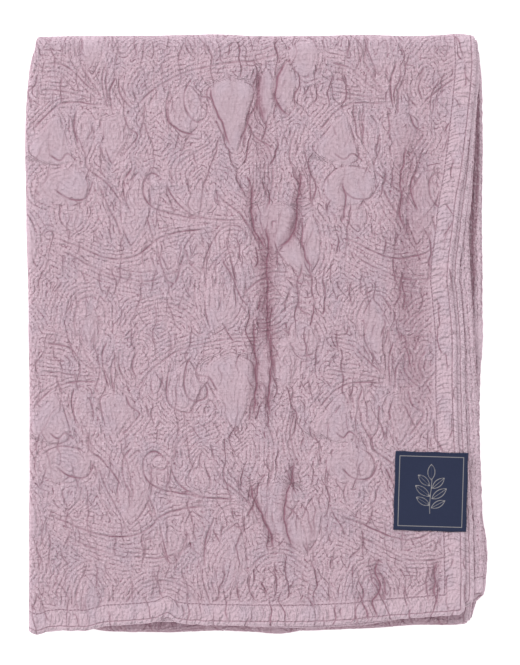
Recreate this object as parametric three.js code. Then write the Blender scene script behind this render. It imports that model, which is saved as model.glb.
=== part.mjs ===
// Folded quilt: one sheet of quilted cotton with hemmed edges, folded in four across its width
// and then in four along its length, with a small woven label sewn at the hem.
// Millimetres, +Z up, +X to the right and +Y to the far side as the folded quilt lies.
// The origin is on the surface that it lies on, under the middle of the pile.

import * as THREE from 'three';

// The pile
const LAYER_PITCH = 2.9;
const CLOTH_THICKNESS = 2.2;
const LAYERS_PER_QUARTER = 4;
const QUARTER_HEIGHT = LAYERS_PER_QUARTER * LAYER_PITCH;
const LOWEST_LAYER = (LAYER_PITCH - CLOTH_THICKNESS) / 2;
const FAR_EDGE = 299;
const NEAR_EDGE = -290;
const SAG = 0.022;

// Where the cloth turns: how far each fold reaches past the flat run that it closes
const SIDE_FOLD_REACH = 3.6;
const SIDE_FOLD_REACH_PER_MM = 0.7;
const INNER_SIDE_FOLD_INSET = 5;
const FAR_FOLD_REACH = 3.2;
const FAR_FOLD_REACH_PER_MM = 0.64;
const INNER_FAR_FOLD_INSET = 9;
const NEAR_FOLD_REACH_PER_MM = 0.66;

// The hem
const HEM_WIDTH = 20;
const HEM_CORNER_RADIUS = 6;
const HEM_CORD_WIDTH = 5;
const HEM_CORD_RISE = 0.5;
const HEM_SEAM_WIDTH = 5;
const HEM_SEAM_DEPTH = 0.5;
const HEM_INSET_BELOW = 5;
const UNDER_HEM_INSET_BELOW = 2;

// The label, sewn over the hem near the corner
const LABEL = {
  across: 73, along: 79, thickness: 1, x: 173.5, y: -157, turnDegrees: -1.7, gap: 0.35, cells: 8, margin: 12,
};

// How finely the cloth is divided, in cells along each run and fold
const CELLS = {
  topRun: 8, hiddenRun: 3, outerSideFold: 5, innerSideFold: 3, hemFold: 4,
  topLength: 11, hiddenLength: 4, secondLength: 12, outerFarFold: 6, innerFarFold: 3, nearFold: 4, fine: 5,
};

// Left edge of the pile, by place along it
const LEFT_EDGE = [
  { y: -300, x: -229 }, { y: -170, x: -228.5 }, { y: -60, x: -228.5 }, { y: 34, x: -229.5 },
  { y: 100, x: -231 }, { y: 150, x: -232 }, { y: 204, x: -232.5 }, { y: 250, x: -230 },
  { y: 274, x: -226.5 }, { y: 300, x: -219 },
];

// Right edges by place along the pile: the hem on top, the hem under it, the fold below them,
// and the same fold in the second quarter and in the two quarters at the bottom
const RIGHT_EDGES = [
  { y: -300, hem: 207, under: 214, fold: 224, second: 225, lower: 218 },
  { y: -275, hem: 207, under: 216, fold: 225, second: 228, lower: 220 },
  { y: -252, hem: 207.5, under: 216, fold: 226.5, second: 229.6, lower: 224 },
  { y: -230, hem: 207, under: 215.5, fold: 225.5, second: 229, lower: 226 },
  { y: -204, hem: 206.5, under: 215, fold: 224.5, second: 225.5, lower: 225 },
  { y: -160, hem: 203, under: 211.5, fold: 223, second: 223, lower: 222 },
  { y: -118, hem: 200.5, under: 209, fold: 221.5, second: 222, lower: 221 },
  { y: -53, hem: 198.5, under: 207, fold: 218.5, second: 223, lower: 222 },
  { y: -12, hem: 198.5, under: 206.5, fold: 216.5, second: 225, lower: 223 },
  { y: 28, hem: 195.5, under: 203.5, fold: 214, second: 225, lower: 223 },
  { y: 55, hem: 193.5, under: 201.5, fold: 212.5, second: 225, lower: 223.5 },
  { y: 100, hem: 198.5, under: 206.5, fold: 211.5, second: 224.5, lower: 223 },
  { y: 127, hem: 201.5, under: 209.5, fold: 213.5, second: 224.5, lower: 223 },
  { y: 158, hem: 207, under: 213.5, fold: 215.5, second: 225, lower: 224 },
  { y: 216, hem: 214, under: 217.5, fold: 218.5, second: 225, lower: 224 },
  { y: 263, hem: 218, under: 221.5, fold: 221.5, second: 224, lower: 223 },
  { y: 300, hem: 217, under: 219, fold: 219, second: 221, lower: 220 },
];

// Near edges by place across the pile: the hem on top, how much further in the layers under it
// end, the hem of the second quarter, and the fold at the bottom
const NEAR_EDGES = [
  { x: -230, hem: -297, inset: 2, second: -290, fold: -292 },
  { x: -220, hem: -299.5, inset: 3, second: -290, fold: -293 },
  { x: -206, hem: -295.5, inset: 3, second: -290, fold: -293 },
  { x: -172, hem: -295.5, inset: 4, second: -289, fold: -296.5 },
  { x: -153, hem: -291, inset: 4, second: -287, fold: -299.8 },
  { x: -134, hem: -290, inset: 4, second: -286, fold: -300.3 },
  { x: -102, hem: -286.7, inset: 3, second: -285, fold: -300.8 },
  { x: -90, hem: -281.8, inset: 2, second: -285, fold: -301 },
  { x: -79, hem: -287.8, inset: 4, second: -286, fold: -300.6 },
  { x: -35, hem: -290.2, inset: 4, second: -290, fold: -299.2 },
  { x: 21, hem: -290.8, inset: 4, second: -294, fold: -301.7 },
  { x: 46, hem: -290.7, inset: 4, second: -294, fold: -299 },
  { x: 87, hem: -289, inset: 4, second: -293, fold: -298 },
  { x: 126, hem: -285, inset: 4, second: -288, fold: -296 },
  { x: 160, hem: -282.5, inset: 6, second: -282, fold: -293.5 },
  { x: 200, hem: -279.8, inset: 14, second: -272, fold: -293 },
  { x: 230, hem: -279, inset: 17, second: -264, fold: -288 },
];

// How far the top layer bulges past the far edge, most where its hem goes over the fold
const FAR_BULGES = [
  { x: -220, bulge: 0 }, { x: -150, bulge: 0.2 }, { x: -100, bulge: 0.5 }, { x: -42, bulge: 1.9 },
  { x: 0, bulge: 0.2 }, { x: 60, bulge: 0.6 }, { x: 110, bulge: 1.5 }, { x: 150, bulge: 0.4 },
  { x: 185, bulge: 1.4 }, { x: 203, bulge: 3.2 }, { x: 218, bulge: 0.8 },
];
const BULGING_LAYER = { from: 2.92 * LAYER_PITCH, to: 3.08 * LAYER_PITCH };

// One repeat of the quilting. Its stuffed leaves, bells and petals are ovals, each placed from
// the repeat's far left corner: how far across and down, its half sizes, its turn and its rise
const REPEAT = { across: 286, along: 279, left: -229.5, far: 298 };
const PUFFS = [
  { name: 'left bell', across: 29, down: 102, halfAcross: 20, halfAlong: 25, turn: 0, rise: 1.5 },
  { name: 'middle bell', across: 89, down: 102, halfAcross: 15, halfAlong: 25, turn: 0, rise: 1.4 },
  { name: 'tulip', across: 36, down: 156, halfAcross: 25, halfAlong: 25, turn: 0, rise: 1.5 },
  { name: 'tall stem leaf', across: 110, down: 169, halfAcross: 13, halfAlong: 37, turn: 0, rise: 1.2 },
  { name: 'scroll eye', across: 128, down: 146, halfAcross: 10, halfAlong: 10, turn: 0, rise: 0.9 },
  { name: 'scroll petal', across: 174, down: 157, halfAcross: 10, halfAlong: 20, turn: 0, rise: 1.1 },
  { name: 'crescent', across: 162, down: 76, halfAcross: 15, halfAlong: 28, turn: -8, rise: 1.1 },
  { name: 'great bell', across: 207, down: 75, halfAcross: 24, halfAlong: 38, turn: 0, rise: 1.9 },
  { name: 'near leaf', across: 238, down: 60, halfAcross: 10, halfAlong: 27, turn: -6, rise: 1.3 },
  { name: 'far leaf', across: 260, down: 62, halfAcross: 11, halfAlong: 40, turn: 5, rise: 1.3 },
  { name: 'oval petal', across: 249, down: 186, halfAcross: 22, halfAlong: 27, turn: 0, rise: 1.6 },
  { name: 'side petal', across: 283, down: 201, halfAcross: 12, halfAlong: 28, turn: 8, rise: 1.3 },
  { name: 'petal foot', across: 259, down: 222, halfAcross: 17, halfAlong: 13, turn: 25, rise: 1.3 },
  { name: 'sweeping leaf', across: 200, down: 254, halfAcross: 20, halfAlong: 42, turn: -16, rise: 1.3 },
  { name: 'small tulip', across: 142, down: 226, halfAcross: 13, halfAlong: 20, turn: 0, rise: 1 },
  { name: 'hooked leaf', across: 55, down: 262, halfAcross: 12, halfAlong: 34, turn: 12, rise: 1.1 },
  { name: 'bud', across: 62, down: 12, halfAcross: 9, halfAlong: 15, turn: 0, rise: 0.9 },
];

// The longest creases of the top face, as troughs through named places
const CREASES = [
  { name: 'far crease', halfWidth: 7, depth: 0.9, places: [[32, 298], [29, 272], [20, 252]] },
  { name: 'bell crease', halfWidth: 8, depth: 1, places: [[5, 262], [1, 232], [-3, 205]] },
  { name: 'petal crease', halfWidth: 7, depth: 0.9, places: [[23, 152], [17, 118], [12, 84]] },
  { name: 'middle crease', halfWidth: 9, depth: 1.1, places: [[13, 44], [6, 0], [-8, -90]] },
  { name: 'near crease', halfWidth: 7, depth: 0.8, places: [[32, -180], [30, -205], [26, -228]] },
];

const degrees = Math.PI / 180;
const mix = (from, to, share) => from + (to - from) * share;
const clamp01 = (value) => Math.min(1, Math.max(0, value));
const smooth = (share) => share * share * (3 - 2 * share);

// Reads one column of a table on a smooth curve through its rows
function readTable(rows, key, column, place) {
  const last = rows.length - 1;
  let index = 0;
  while (index < last - 1 && place > rows[index + 1][key]) {
    index += 1;
  }
  const slopeAt = (row) => {
    const before = rows[Math.max(row - 1, 0)];
    const after = rows[Math.min(row + 1, last)];
    return (after[column] - before[column]) / (after[key] - before[key]);
  };
  const low = rows[index];
  const high = rows[index + 1];
  const span = high[key] - low[key];
  const share = clamp01((place - low[key]) / span);
  const square = share * share;
  const cube = square * share;
  return low[column] * (2 * cube - 3 * square + 1) + high[column] * (3 * square - 2 * cube)
    + span * (slopeAt(index) * (cube - 2 * square + share) + slopeAt(index + 1) * (cube - square));
}

// Stations along the folded way of the cloth: each names its run or fold and its share of it
function stationsOf(parts) {
  const stations = [];
  parts.forEach(({ name, cells, hemCell }, order) => {
    const first = order === 0 ? 0 : 1;
    for (let step = first; step <= cells; step += 1) {
      stations.push({ part: name, share: step / cells, cellEnd: step, hemCell });
    }
  });
  return stations;
}

const ACROSS = stationsOf([
  { name: 'topRun', cells: CELLS.topRun + 1, hemCell: true },
  { name: 'outerSideFold', cells: CELLS.outerSideFold },
  { name: 'fourthRun', cells: CELLS.hiddenRun },
  { name: 'hemSideFold', cells: CELLS.hemFold },
  { name: 'thirdRun', cells: CELLS.hiddenRun },
  { name: 'innerSideFold', cells: CELLS.innerSideFold },
  { name: 'secondRun', cells: CELLS.hiddenRun },
]);
const ALONG = stationsOf([
  { name: 'topLength', cells: CELLS.topLength + 1, hemCell: true },
  { name: 'outerFarFold', cells: CELLS.outerFarFold },
  { name: 'bottomLength', cells: CELLS.hiddenLength },
  { name: 'nearFold', cells: CELLS.nearFold },
  { name: 'thirdLength', cells: CELLS.hiddenLength },
  { name: 'innerFarFold', cells: CELLS.innerFarFold },
  { name: 'secondLength', cells: CELLS.secondLength },
]);

// A place between two stations. In the two runs that end at a visible hem, the first cell is
// the width of the hem, and the others share the rest.
function stationAt(stations, index, fraction) {
  const from = stations[index];
  if (fraction === 0) {
    return { part: from.part, share: from.share, hemMeasure: from.hemCell ? from.cellEnd : undefined };
  }
  const to = stations[index + 1];
  const startShare = from.part === to.part ? from.share : 0;
  return {
    part: to.part,
    share: mix(startShare, to.share, fraction),
    hemMeasure: to.hemCell ? index + fraction : undefined,
  };
}

function distanceFromHem(station, runLength, cells) {
  if (station.hemMeasure <= 1) {
    return HEM_WIDTH * station.hemMeasure;
  }
  return mix(HEM_WIDTH, runLength, (station.hemMeasure - 1) / cells);
}

// How far a place is from the top quarter towards the second one or the two at the bottom
const QUARTER_SHARES = {
  topLength: () => ({ top: 1, second: 0 }),
  outerFarFold: (share) => ({ top: 1 - smooth(share), second: 0 }),
  bottomLength: () => ({ top: 0, second: 0 }),
  nearFold: () => ({ top: 0, second: 0 }),
  thirdLength: () => ({ top: 0, second: 0 }),
  innerFarFold: (share) => ({ top: 0, second: smooth(share) }),
  secondLength: () => ({ top: 0, second: 1 }),
};

// Where the flat runs end at the far folds
const FAR_TURN = FAR_EDGE - FAR_FOLD_REACH - FAR_FOLD_REACH_PER_MM * QUARTER_HEIGHT;
const INNER_FAR_TURN = FAR_TURN - INNER_FAR_FOLD_INSET;

// The place along the pile, before the edges are made uneven
const PLAIN_PLACES = {
  topLength: (along) => NEAR_EDGE + distanceFromHem(along, FAR_TURN - NEAR_EDGE, CELLS.topLength),
  outerFarFold: () => FAR_TURN,
  bottomLength: ({ share }) => mix(FAR_TURN, NEAR_EDGE, share),
  nearFold: () => NEAR_EDGE,
  thirdLength: ({ share }) => mix(NEAR_EDGE, FAR_TURN, share),
  innerFarFold: () => FAR_TURN,
  secondLength: ({ share }) => mix(FAR_TURN, NEAR_EDGE, share),
};

function edgesAt(along) {
  const place = PLAIN_PLACES[along.part](along);
  const { top, second } = QUARTER_SHARES[along.part](along.share);
  const below = mix(
    readTable(RIGHT_EDGES, 'y', 'lower', place),
    readTable(RIGHT_EDGES, 'y', 'second', place),
    second,
  );
  const cornerReach = HEM_CORNER_RADIUS - Math.min(HEM_CORNER_RADIUS, Math.max(0, place - NEAR_EDGE));
  const corner = HEM_CORNER_RADIUS - Math.sqrt(HEM_CORNER_RADIUS ** 2 - cornerReach ** 2);
  const rightOf = (column, inset) => (
    mix(below - inset, readTable(RIGHT_EDGES, 'y', column, place), top) - corner
  );
  return {
    left: readTable(LEFT_EDGE, 'y', 'x', place),
    hem: rightOf('hem', HEM_INSET_BELOW),
    under: rightOf('under', UNDER_HEM_INSET_BELOW),
    fold: rightOf('fold', 0),
  };
}

// A point of the cloth in its quarter, as its place across and its height in the quarter.
// The lift is the distance from the middle of the cloth towards its outer face.
function pointAcross(across, edges, lift) {
  const leftTurn = edges.left + SIDE_FOLD_REACH + SIDE_FOLD_REACH_PER_MM;
  const innerTurn = leftTurn + INNER_SIDE_FOLD_INSET;
  const rightTurn = edges.fold - LAYER_PITCH / 2;
  const turn = Math.PI * across.share;
  const heights = {
    top: 3.5 * LAYER_PITCH, second: 2.5 * LAYER_PITCH, third: 1.5 * LAYER_PITCH, fourth: 0.5 * LAYER_PITCH,
  };
  switch (across.part) {
    case 'topRun': {
      const length = edges.hem - leftTurn;
      return { x: edges.hem - distanceFromHem(across, length, CELLS.topRun), height: heights.top + lift };
    }
    case 'outerSideFold':
      return {
        x: leftTurn - (SIDE_FOLD_REACH + SIDE_FOLD_REACH_PER_MM * lift) * Math.sin(turn),
        height: 2 * LAYER_PITCH + (1.5 * LAYER_PITCH + lift) * Math.cos(turn),
      };
    case 'fourthRun':
      return { x: mix(leftTurn, rightTurn, across.share), height: heights.fourth - lift };
    case 'hemSideFold':
      return {
        x: rightTurn + (LAYER_PITCH / 2 + lift) * Math.sin(turn),
        height: LAYER_PITCH - (LAYER_PITCH / 2 + lift) * Math.cos(turn),
      };
    case 'thirdRun':
      return { x: mix(rightTurn, innerTurn, across.share), height: heights.third + lift };
    case 'innerSideFold':
      return {
        x: innerTurn - (LAYER_PITCH / 2 - lift) * Math.sin(turn),
        height: 2 * LAYER_PITCH - (LAYER_PITCH / 2 - lift) * Math.cos(turn),
      };
    default:
      return { x: mix(innerTurn, edges.under, across.share), height: heights.second - lift };
  }
}

// How far under the top layer a place is, from 0 to 1, which sets how far in its hem ends
function coverShare(across) {
  switch (across.part) {
    case 'topRun':
      return 0;
    case 'outerSideFold':
      return smooth(across.share);
    case 'innerSideFold':
      return 1 - smooth(across.share) / 2;
    case 'secondRun':
      return 0.5;
    default:
      return 1;
  }
}

// Where the top layer and those under it leave their flat run for the far fold
function farTurnAt(x, height) {
  const share = smooth(clamp01((height - BULGING_LAYER.from) / (BULGING_LAYER.to - BULGING_LAYER.from)));
  return FAR_TURN + share * readTable(FAR_BULGES, 'x', 'bulge', x);
}

// Folds a point of a quarter into the pile, from its place across and its height in the quarter
function pointInPile(x, height, along, cover) {
  const farTurn = farTurnAt(x, height);
  const nearTurn = readTable(NEAR_EDGES, 'x', 'fold', x) + NEAR_FOLD_REACH_PER_MM * QUARTER_HEIGHT;
  const hem = readTable(NEAR_EDGES, 'x', 'hem', x) + cover * readTable(NEAR_EDGES, 'x', 'inset', x);
  const secondHem = readTable(NEAR_EDGES, 'x', 'second', x) + (1 - cover) * UNDER_HEM_INSET_BELOW;
  const turn = Math.PI * along.share;
  switch (along.part) {
    case 'topLength': {
      const length = farTurn - hem;
      return { y: hem + distanceFromHem(along, length, CELLS.topLength), z: 3 * QUARTER_HEIGHT + height };
    }
    case 'outerFarFold':
      return {
        y: farTurn + (FAR_FOLD_REACH + FAR_FOLD_REACH_PER_MM * height) * Math.sin(turn),
        z: 2 * QUARTER_HEIGHT + (QUARTER_HEIGHT + height) * Math.cos(turn),
      };
    case 'bottomLength':
      return { y: mix(farTurn, nearTurn, along.share), z: QUARTER_HEIGHT - height };
    case 'nearFold':
      return {
        y: nearTurn - NEAR_FOLD_REACH_PER_MM * height * Math.sin(turn),
        z: QUARTER_HEIGHT - height * Math.cos(turn),
      };
    case 'thirdLength':
      return { y: mix(nearTurn, INNER_FAR_TURN, along.share), z: QUARTER_HEIGHT + height };
    case 'innerFarFold':
      return {
        y: INNER_FAR_TURN + FAR_FOLD_REACH_PER_MM * (QUARTER_HEIGHT - height) * Math.sin(turn),
        z: 2 * QUARTER_HEIGHT - (QUARTER_HEIGHT - height) * Math.cos(turn),
      };
    default:
      return { y: mix(INNER_FAR_TURN, secondHem, along.share), z: 3 * QUARTER_HEIGHT - height };
  }
}

// The pile settles unevenly: a share of its height that varies slowly over it
function settled(x, y, z) {
  const waves = 0.5 * Math.sin(x / 71 + 0.6) * Math.cos(y / 93 - 0.4) + 0.3 * Math.sin(y / 47 + x / 160)
    + 0.2 * Math.cos(x / 38 - y / 120);
  return z * (1 + SAG * waves);
}

// Height of one stuffed oval, full in the middle and steep at its rim
function puffRise(puff, across, down) {
  const turn = puff.turn * degrees;
  const rightward = across * Math.cos(turn) - down * Math.sin(turn);
  const downward = across * Math.sin(turn) + down * Math.cos(turn);
  const square = (rightward / puff.halfAcross) ** 2 + (downward / puff.halfAlong) ** 2;
  return square < 1 ? puff.rise * Math.sqrt(1 - square) : 0;
}

function quiltingRise(x, y) {
  let rise = 0;
  for (const puff of PUFFS) {
    const across = x - REPEAT.left - puff.across;
    const down = REPEAT.far - y - puff.down;
    const nearAcross = across - REPEAT.across * Math.round(across / REPEAT.across);
    const nearDown = down - REPEAT.along * Math.round(down / REPEAT.along);
    rise = Math.max(rise, puffRise(puff, nearAcross, nearDown));
  }
  return rise;
}

// Depth of a trough at a distance from its line
const troughDepth = (distance, halfWidth, depth) => depth * (1 - smooth(clamp01(distance / halfWidth)));

function creaseDepth(x, y) {
  const point = new THREE.Vector3(x, y, 0);
  const nearest = new THREE.Vector3();
  let deepest = 0;
  for (const { halfWidth, depth, places } of CREASES) {
    for (let index = 1; index < places.length; index += 1) {
      const from = new THREE.Vector3(places[index - 1][0], places[index - 1][1], 0);
      const to = new THREE.Vector3(places[index][0], places[index][1], 0);
      new THREE.Line3(from, to).closestPointToPoint(point, true, nearest);
      deepest = Math.max(deepest, troughDepth(nearest.distanceTo(point), halfWidth, depth));
    }
  }
  return deepest;
}

// How clear a place is of the label, from 0 under it to 1 past its margin
function clearOfLabel(x, y) {
  const turn = LABEL.turnDegrees * degrees;
  const across = (x - LABEL.x) * Math.cos(turn) + (y - LABEL.y) * Math.sin(turn);
  const along = (y - LABEL.y) * Math.cos(turn) - (x - LABEL.x) * Math.sin(turn);
  const past = Math.max(Math.abs(across) - LABEL.across / 2, Math.abs(along) - LABEL.along / 2);
  return smooth(clamp01(past / LABEL.margin));
}

// The relief of the top face: the hem's corded edge and seam, the quilting inside it, the creases
function topRelief(x, y, fromSideHem, fromNearHem, fromSideFold, fromFarFold) {
  const fromHem = Math.min(fromSideHem, fromNearHem);
  const inside = smooth(clamp01((fromHem - HEM_WIDTH) / HEM_WIDTH));
  const beforeFolds = smooth(clamp01(Math.min(fromSideFold, fromFarFold) / HEM_WIDTH));
  const cord = HEM_CORD_RISE * (1 - smooth(clamp01(fromHem / HEM_CORD_WIDTH)));
  const seam = troughDepth(Math.abs(fromHem - HEM_WIDTH), HEM_SEAM_WIDTH, HEM_SEAM_DEPTH);
  const quilting = inside * (quiltingRise(x, y) - creaseDepth(x, y));
  return (cord - seam + quilting) * beforeFolds * clearOfLabel(x, y);
}

// One point of the sheet, on its outer or its inner face
function sheetPoint(across, along, isOuter) {
  const lift = (isOuter ? 1 : -1) * CLOTH_THICKNESS / 2;
  const edges = edgesAt(along);
  const { x, height } = pointAcross(across, edges, lift);
  const { y, z } = pointInPile(x, height, along, coverShare(across));
  const point = new THREE.Vector3(x, y, settled(x, y, z - LOWEST_LAYER));
  if (isOuter && across.part === 'topRun' && along.part === 'topLength') {
    const leftTurn = edges.left + SIDE_FOLD_REACH + SIDE_FOLD_REACH_PER_MM;
    const nearHem = readTable(NEAR_EDGES, 'x', 'hem', x);
    point.z += topRelief(x, y, edges.hem - x, y - nearHem, x - leftTurn, farTurnAt(x, height) - y);
  }
  return point;
}

// A closed mesh from polygons, each fanned from its middle where it has more than four corners
class SolidMaker {
  constructor() {
    this.positions = [];
    this.triangles = [];
    this.named = new Map();
  }

  vertex(name, makePoint) {
    if (!this.named.has(name)) {
      this.named.set(name, this.addPoint(makePoint()));
    }
    return this.named.get(name);
  }

  addPoint(point) {
    this.positions.push(point.x, point.y, point.z);
    return this.positions.length / 3 - 1;
  }

  polygon(corners) {
    if (corners.length === 4) {
      this.triangles.push(corners[0], corners[1], corners[2], corners[0], corners[2], corners[3]);
      return;
    }
    const middle = new THREE.Vector3();
    for (const corner of corners) {
      middle.add(new THREE.Vector3().fromArray(this.positions, corner * 3));
    }
    const centre = this.addPoint(middle.divideScalar(corners.length));
    corners.forEach((corner, index) => {
      this.triangles.push(corner, corners[(index + 1) % corners.length], centre);
    });
  }

  geometry() {
    const geometry = new THREE.BufferGeometry();
    geometry.setAttribute('position', new THREE.Float32BufferAttribute(this.positions, 3));
    geometry.setIndex(this.triangles);
    geometry.computeVertexNormals();
    return geometry;
  }
}

function makeSheet() {
  const maker = new SolidMaker();
  const { fine } = CELLS;
  const lastAcross = ACROSS.length - 1;
  const lastAlong = ALONG.length - 1;
  const isFine = (i, j) => ACROSS[i + 1].part === 'topRun' && ALONG[j + 1].part === 'topLength';
  const isInside = (i, j) => i >= 0 && j >= 0 && i < lastAcross && j < lastAlong;
  // The outer face is divided where it meets a fine cell, and the inner one where a fine cell ends
  const isDivided = (cell, neighbour, isOuter) => (
    isOuter ? isInside(...neighbour) && isFine(...neighbour) : isFine(...cell) && !isInside(...neighbour)
  );

  // Places are counted in fine steps, so that cells that meet share their points
  const point = (stepAcross, stepAlong, isOuter) => maker.vertex(
    `${stepAcross},${stepAlong},${isOuter}`,
    () => {
      const across = stationAt(ACROSS, Math.floor(stepAcross / fine), (stepAcross % fine) / fine);
      const along = stationAt(ALONG, Math.floor(stepAlong / fine), (stepAlong % fine) / fine);
      return sheetPoint(across, along, isOuter);
    },
  );
  const edgePoints = (from, to, isOuter, divided) => {
    const count = divided ? fine : 1;
    return Array.from({ length: count }, (_, step) => point(
      mix(from[0], to[0], step / count),
      mix(from[1], to[1], step / count),
      isOuter,
    ));
  };
  const facing = (corners, isOuter) => (isOuter ? corners : [...corners].reverse());

  for (const isOuter of [true, false]) {
    for (let i = 0; i < lastAcross; i += 1) {
      for (let j = 0; j < lastAlong; j += 1) {
        const [left, right, near, far] = [i, i + 1, j, j + 1].map((index) => index * fine);
        if (isOuter && isFine(i, j)) {
          for (let a = left; a < right; a += 1) {
            for (let b = near; b < far; b += 1) {
              maker.polygon([
                point(a, b, true), point(a, b + 1, true), point(a + 1, b + 1, true), point(a + 1, b, true),
              ]);
            }
          }
        } else {
          const divided = (neighbour) => isDivided([i, j], neighbour, isOuter);
          maker.polygon(facing([
            ...edgePoints([left, near], [left, far], isOuter, divided([i - 1, j])),
            ...edgePoints([left, far], [right, far], isOuter, divided([i, j + 1])),
            ...edgePoints([right, far], [right, near], isOuter, divided([i + 1, j])),
            ...edgePoints([right, near], [left, near], isOuter, divided([i, j - 1])),
          ], isOuter));
        }
      }
    }
  }

  // The cut edges, closed all round from the outer face to the inner one
  const closeEdge = (from, to, divided) => {
    const outer = [...edgePoints(from, to, true, divided), point(to[0], to[1], true)];
    const inner = [...edgePoints(from, to, false, divided), point(to[0], to[1], false)];
    for (let step = 1; step < outer.length; step += 1) {
      maker.polygon([outer[step], outer[step - 1], inner[step - 1], inner[step]]);
    }
  };
  for (let i = 0; i < lastAcross; i += 1) {
    const [left, right, far] = [i * fine, (i + 1) * fine, lastAlong * fine];
    closeEdge([right, 0], [left, 0], isFine(i, 0));
    closeEdge([left, far], [right, far], false);
  }
  for (let j = 0; j < lastAlong; j += 1) {
    const [near, far, right] = [j * fine, (j + 1) * fine, lastAcross * fine];
    closeEdge([0, near], [0, far], isFine(0, j));
    closeEdge([right, far], [right, near], false);
  }
  return maker.geometry();
}

// The label lies just over the top face and follows its slow rise and fall
function makeLabel() {
  const turn = LABEL.turnDegrees * degrees;
  const lowest = 4 * QUARTER_HEIGHT - 2 * LOWEST_LAYER + LABEL.gap;
  const geometry = new THREE.BoxGeometry(
    LABEL.across, LABEL.along, LABEL.thickness, LABEL.cells, LABEL.cells, 1,
  );
  geometry.translate(0, 0, LABEL.thickness / 2);
  geometry.rotateZ(turn);
  geometry.translate(LABEL.x, LABEL.y, 0);
  const positions = geometry.attributes.position;
  for (let index = 0; index < positions.count; index += 1) {
    const x = positions.getX(index);
    const y = positions.getY(index);
    const face = settled(x, y, lowest - LABEL.gap) + LABEL.gap;
    positions.setZ(index, face + positions.getZ(index));
  }
  geometry.computeVertexNormals();
  return geometry;
}

const quilt = new THREE.Mesh(
  makeSheet(),
  new THREE.MeshStandardMaterial({ color: 0xcbb0bc, roughness: 0.92, metalness: 0 }),
);
quilt.name = 'quilt';

const label = new THREE.Mesh(
  makeLabel(),
  new THREE.MeshStandardMaterial({ color: 0x2c3760, roughness: 0.6, metalness: 0 }),
);
label.name = 'label';

const foldedQuilt = new THREE.Group();
foldedQuilt.add(quilt, label);

// The origin is set under the middle of the pile
const bounds = new THREE.Box3().setFromObject(foldedQuilt);
const middle = bounds.getCenter(new THREE.Vector3());
foldedQuilt.position.set(-middle.x, -middle.y, 0);
foldedQuilt.updateMatrixWorld(true);

export default foldedQuilt;
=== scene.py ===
import math

import bpy
import numpy as np
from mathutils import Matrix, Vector


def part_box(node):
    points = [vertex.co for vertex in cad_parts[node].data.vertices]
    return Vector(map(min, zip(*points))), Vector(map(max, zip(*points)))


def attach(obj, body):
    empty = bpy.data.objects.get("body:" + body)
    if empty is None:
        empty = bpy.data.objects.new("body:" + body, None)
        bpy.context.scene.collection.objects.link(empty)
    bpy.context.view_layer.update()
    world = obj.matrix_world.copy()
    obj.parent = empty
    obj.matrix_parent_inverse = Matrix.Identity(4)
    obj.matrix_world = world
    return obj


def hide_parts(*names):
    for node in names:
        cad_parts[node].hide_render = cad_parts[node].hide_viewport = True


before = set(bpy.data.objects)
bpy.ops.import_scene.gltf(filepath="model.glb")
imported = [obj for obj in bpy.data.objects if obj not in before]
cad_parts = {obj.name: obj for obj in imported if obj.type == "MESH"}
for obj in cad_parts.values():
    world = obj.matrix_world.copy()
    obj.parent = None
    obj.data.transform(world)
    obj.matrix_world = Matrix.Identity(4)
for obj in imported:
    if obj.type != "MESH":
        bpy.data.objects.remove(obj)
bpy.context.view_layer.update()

# A folded bed quilt of washed, puckered cotton, with corded hems and a small woven label. It is
# one sheet, folded in four across its width and then in four along its length. The tables are in
# millimetres, from the middle of the pile, and MM turns them into metres.

bl_info = {
    "name": "Folded quilt",
    "version": (1, 0, 0),
    "blender": (4, 5, 0),
    "location": "3D View > Sidebar > Quilt",
    "description": "Makes a folded quilted bed cover with corded hems and a woven label",
    "category": "Add Mesh",
}

MM = 0.001


def table(columns, *rows):
    """The rows of a table, each by the names of its columns."""
    return [dict(zip(columns.split(), row)) for row in rows]


# The pile, as the solids have it
LAYER_PITCH = 2.9
CLOTH_THICKNESS = 2.2
QUARTER_HEIGHT = 4 * LAYER_PITCH
LOWEST_LAYER = (LAYER_PITCH - CLOTH_THICKNESS) / 2
FAR_EDGE = 299
NEAR_EDGE = -290
SAG = 0.022

# How far each fold reaches past the flat run that it closes
SIDE_FOLD_REACH = 3.6
SIDE_FOLD_REACH_PER_MM = 0.7
INNER_SIDE_FOLD_INSET = 5
FAR_FOLD_REACH = 3.2
FAR_FOLD_REACH_PER_MM = 0.64
INNER_FAR_FOLD_INSET = 9
NEAR_FOLD_REACH_PER_MM = 0.66
FAR_TURN = FAR_EDGE - FAR_FOLD_REACH - FAR_FOLD_REACH_PER_MM * QUARTER_HEIGHT
INNER_FAR_TURN = FAR_TURN - INNER_FAR_FOLD_INSET

# Cloth used up by each fold, for the pattern that runs on over it
SIDE_FOLD_LENGTHS = {"outer": 13, "hem": 5, "inner": 5}
FAR_FOLD_LENGTHS = {"outer": 46, "near": 26, "inner": 20}

# The hem
HEM_WIDTH = 20
HEM_CORNER_RADIUS = 6
HEM_INSET_BELOW = 5
UNDER_HEM_INSET_BELOW = 2
LOWER_CORNER_RADIUS = 2.5
CORD_WIDTH = 3.6
CORD_BULGE = 0.9
EDGE_WAVE = 0.7
FAR_FROM_HEM = 60

# Cells of the sheet along each run and fold, and how many times a shown cell is divided
ACROSS_CELLS = {
    "top_run": 35, "outer_side_fold": 6, "fourth_run": 8, "hem_side_fold": 4, "third_run": 8,
    "inner_side_fold": 3, "second_run": 8,
}
ALONG_CELLS = {
    "top_length": 45, "outer_far_fold": 8, "bottom_length": 8, "near_fold": 6, "third_length": 8,
    "inner_far_fold": 4, "second_length": 24,
}
DIVIDE_ACROSS = 8
DIVIDE_ALONG = 6

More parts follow.
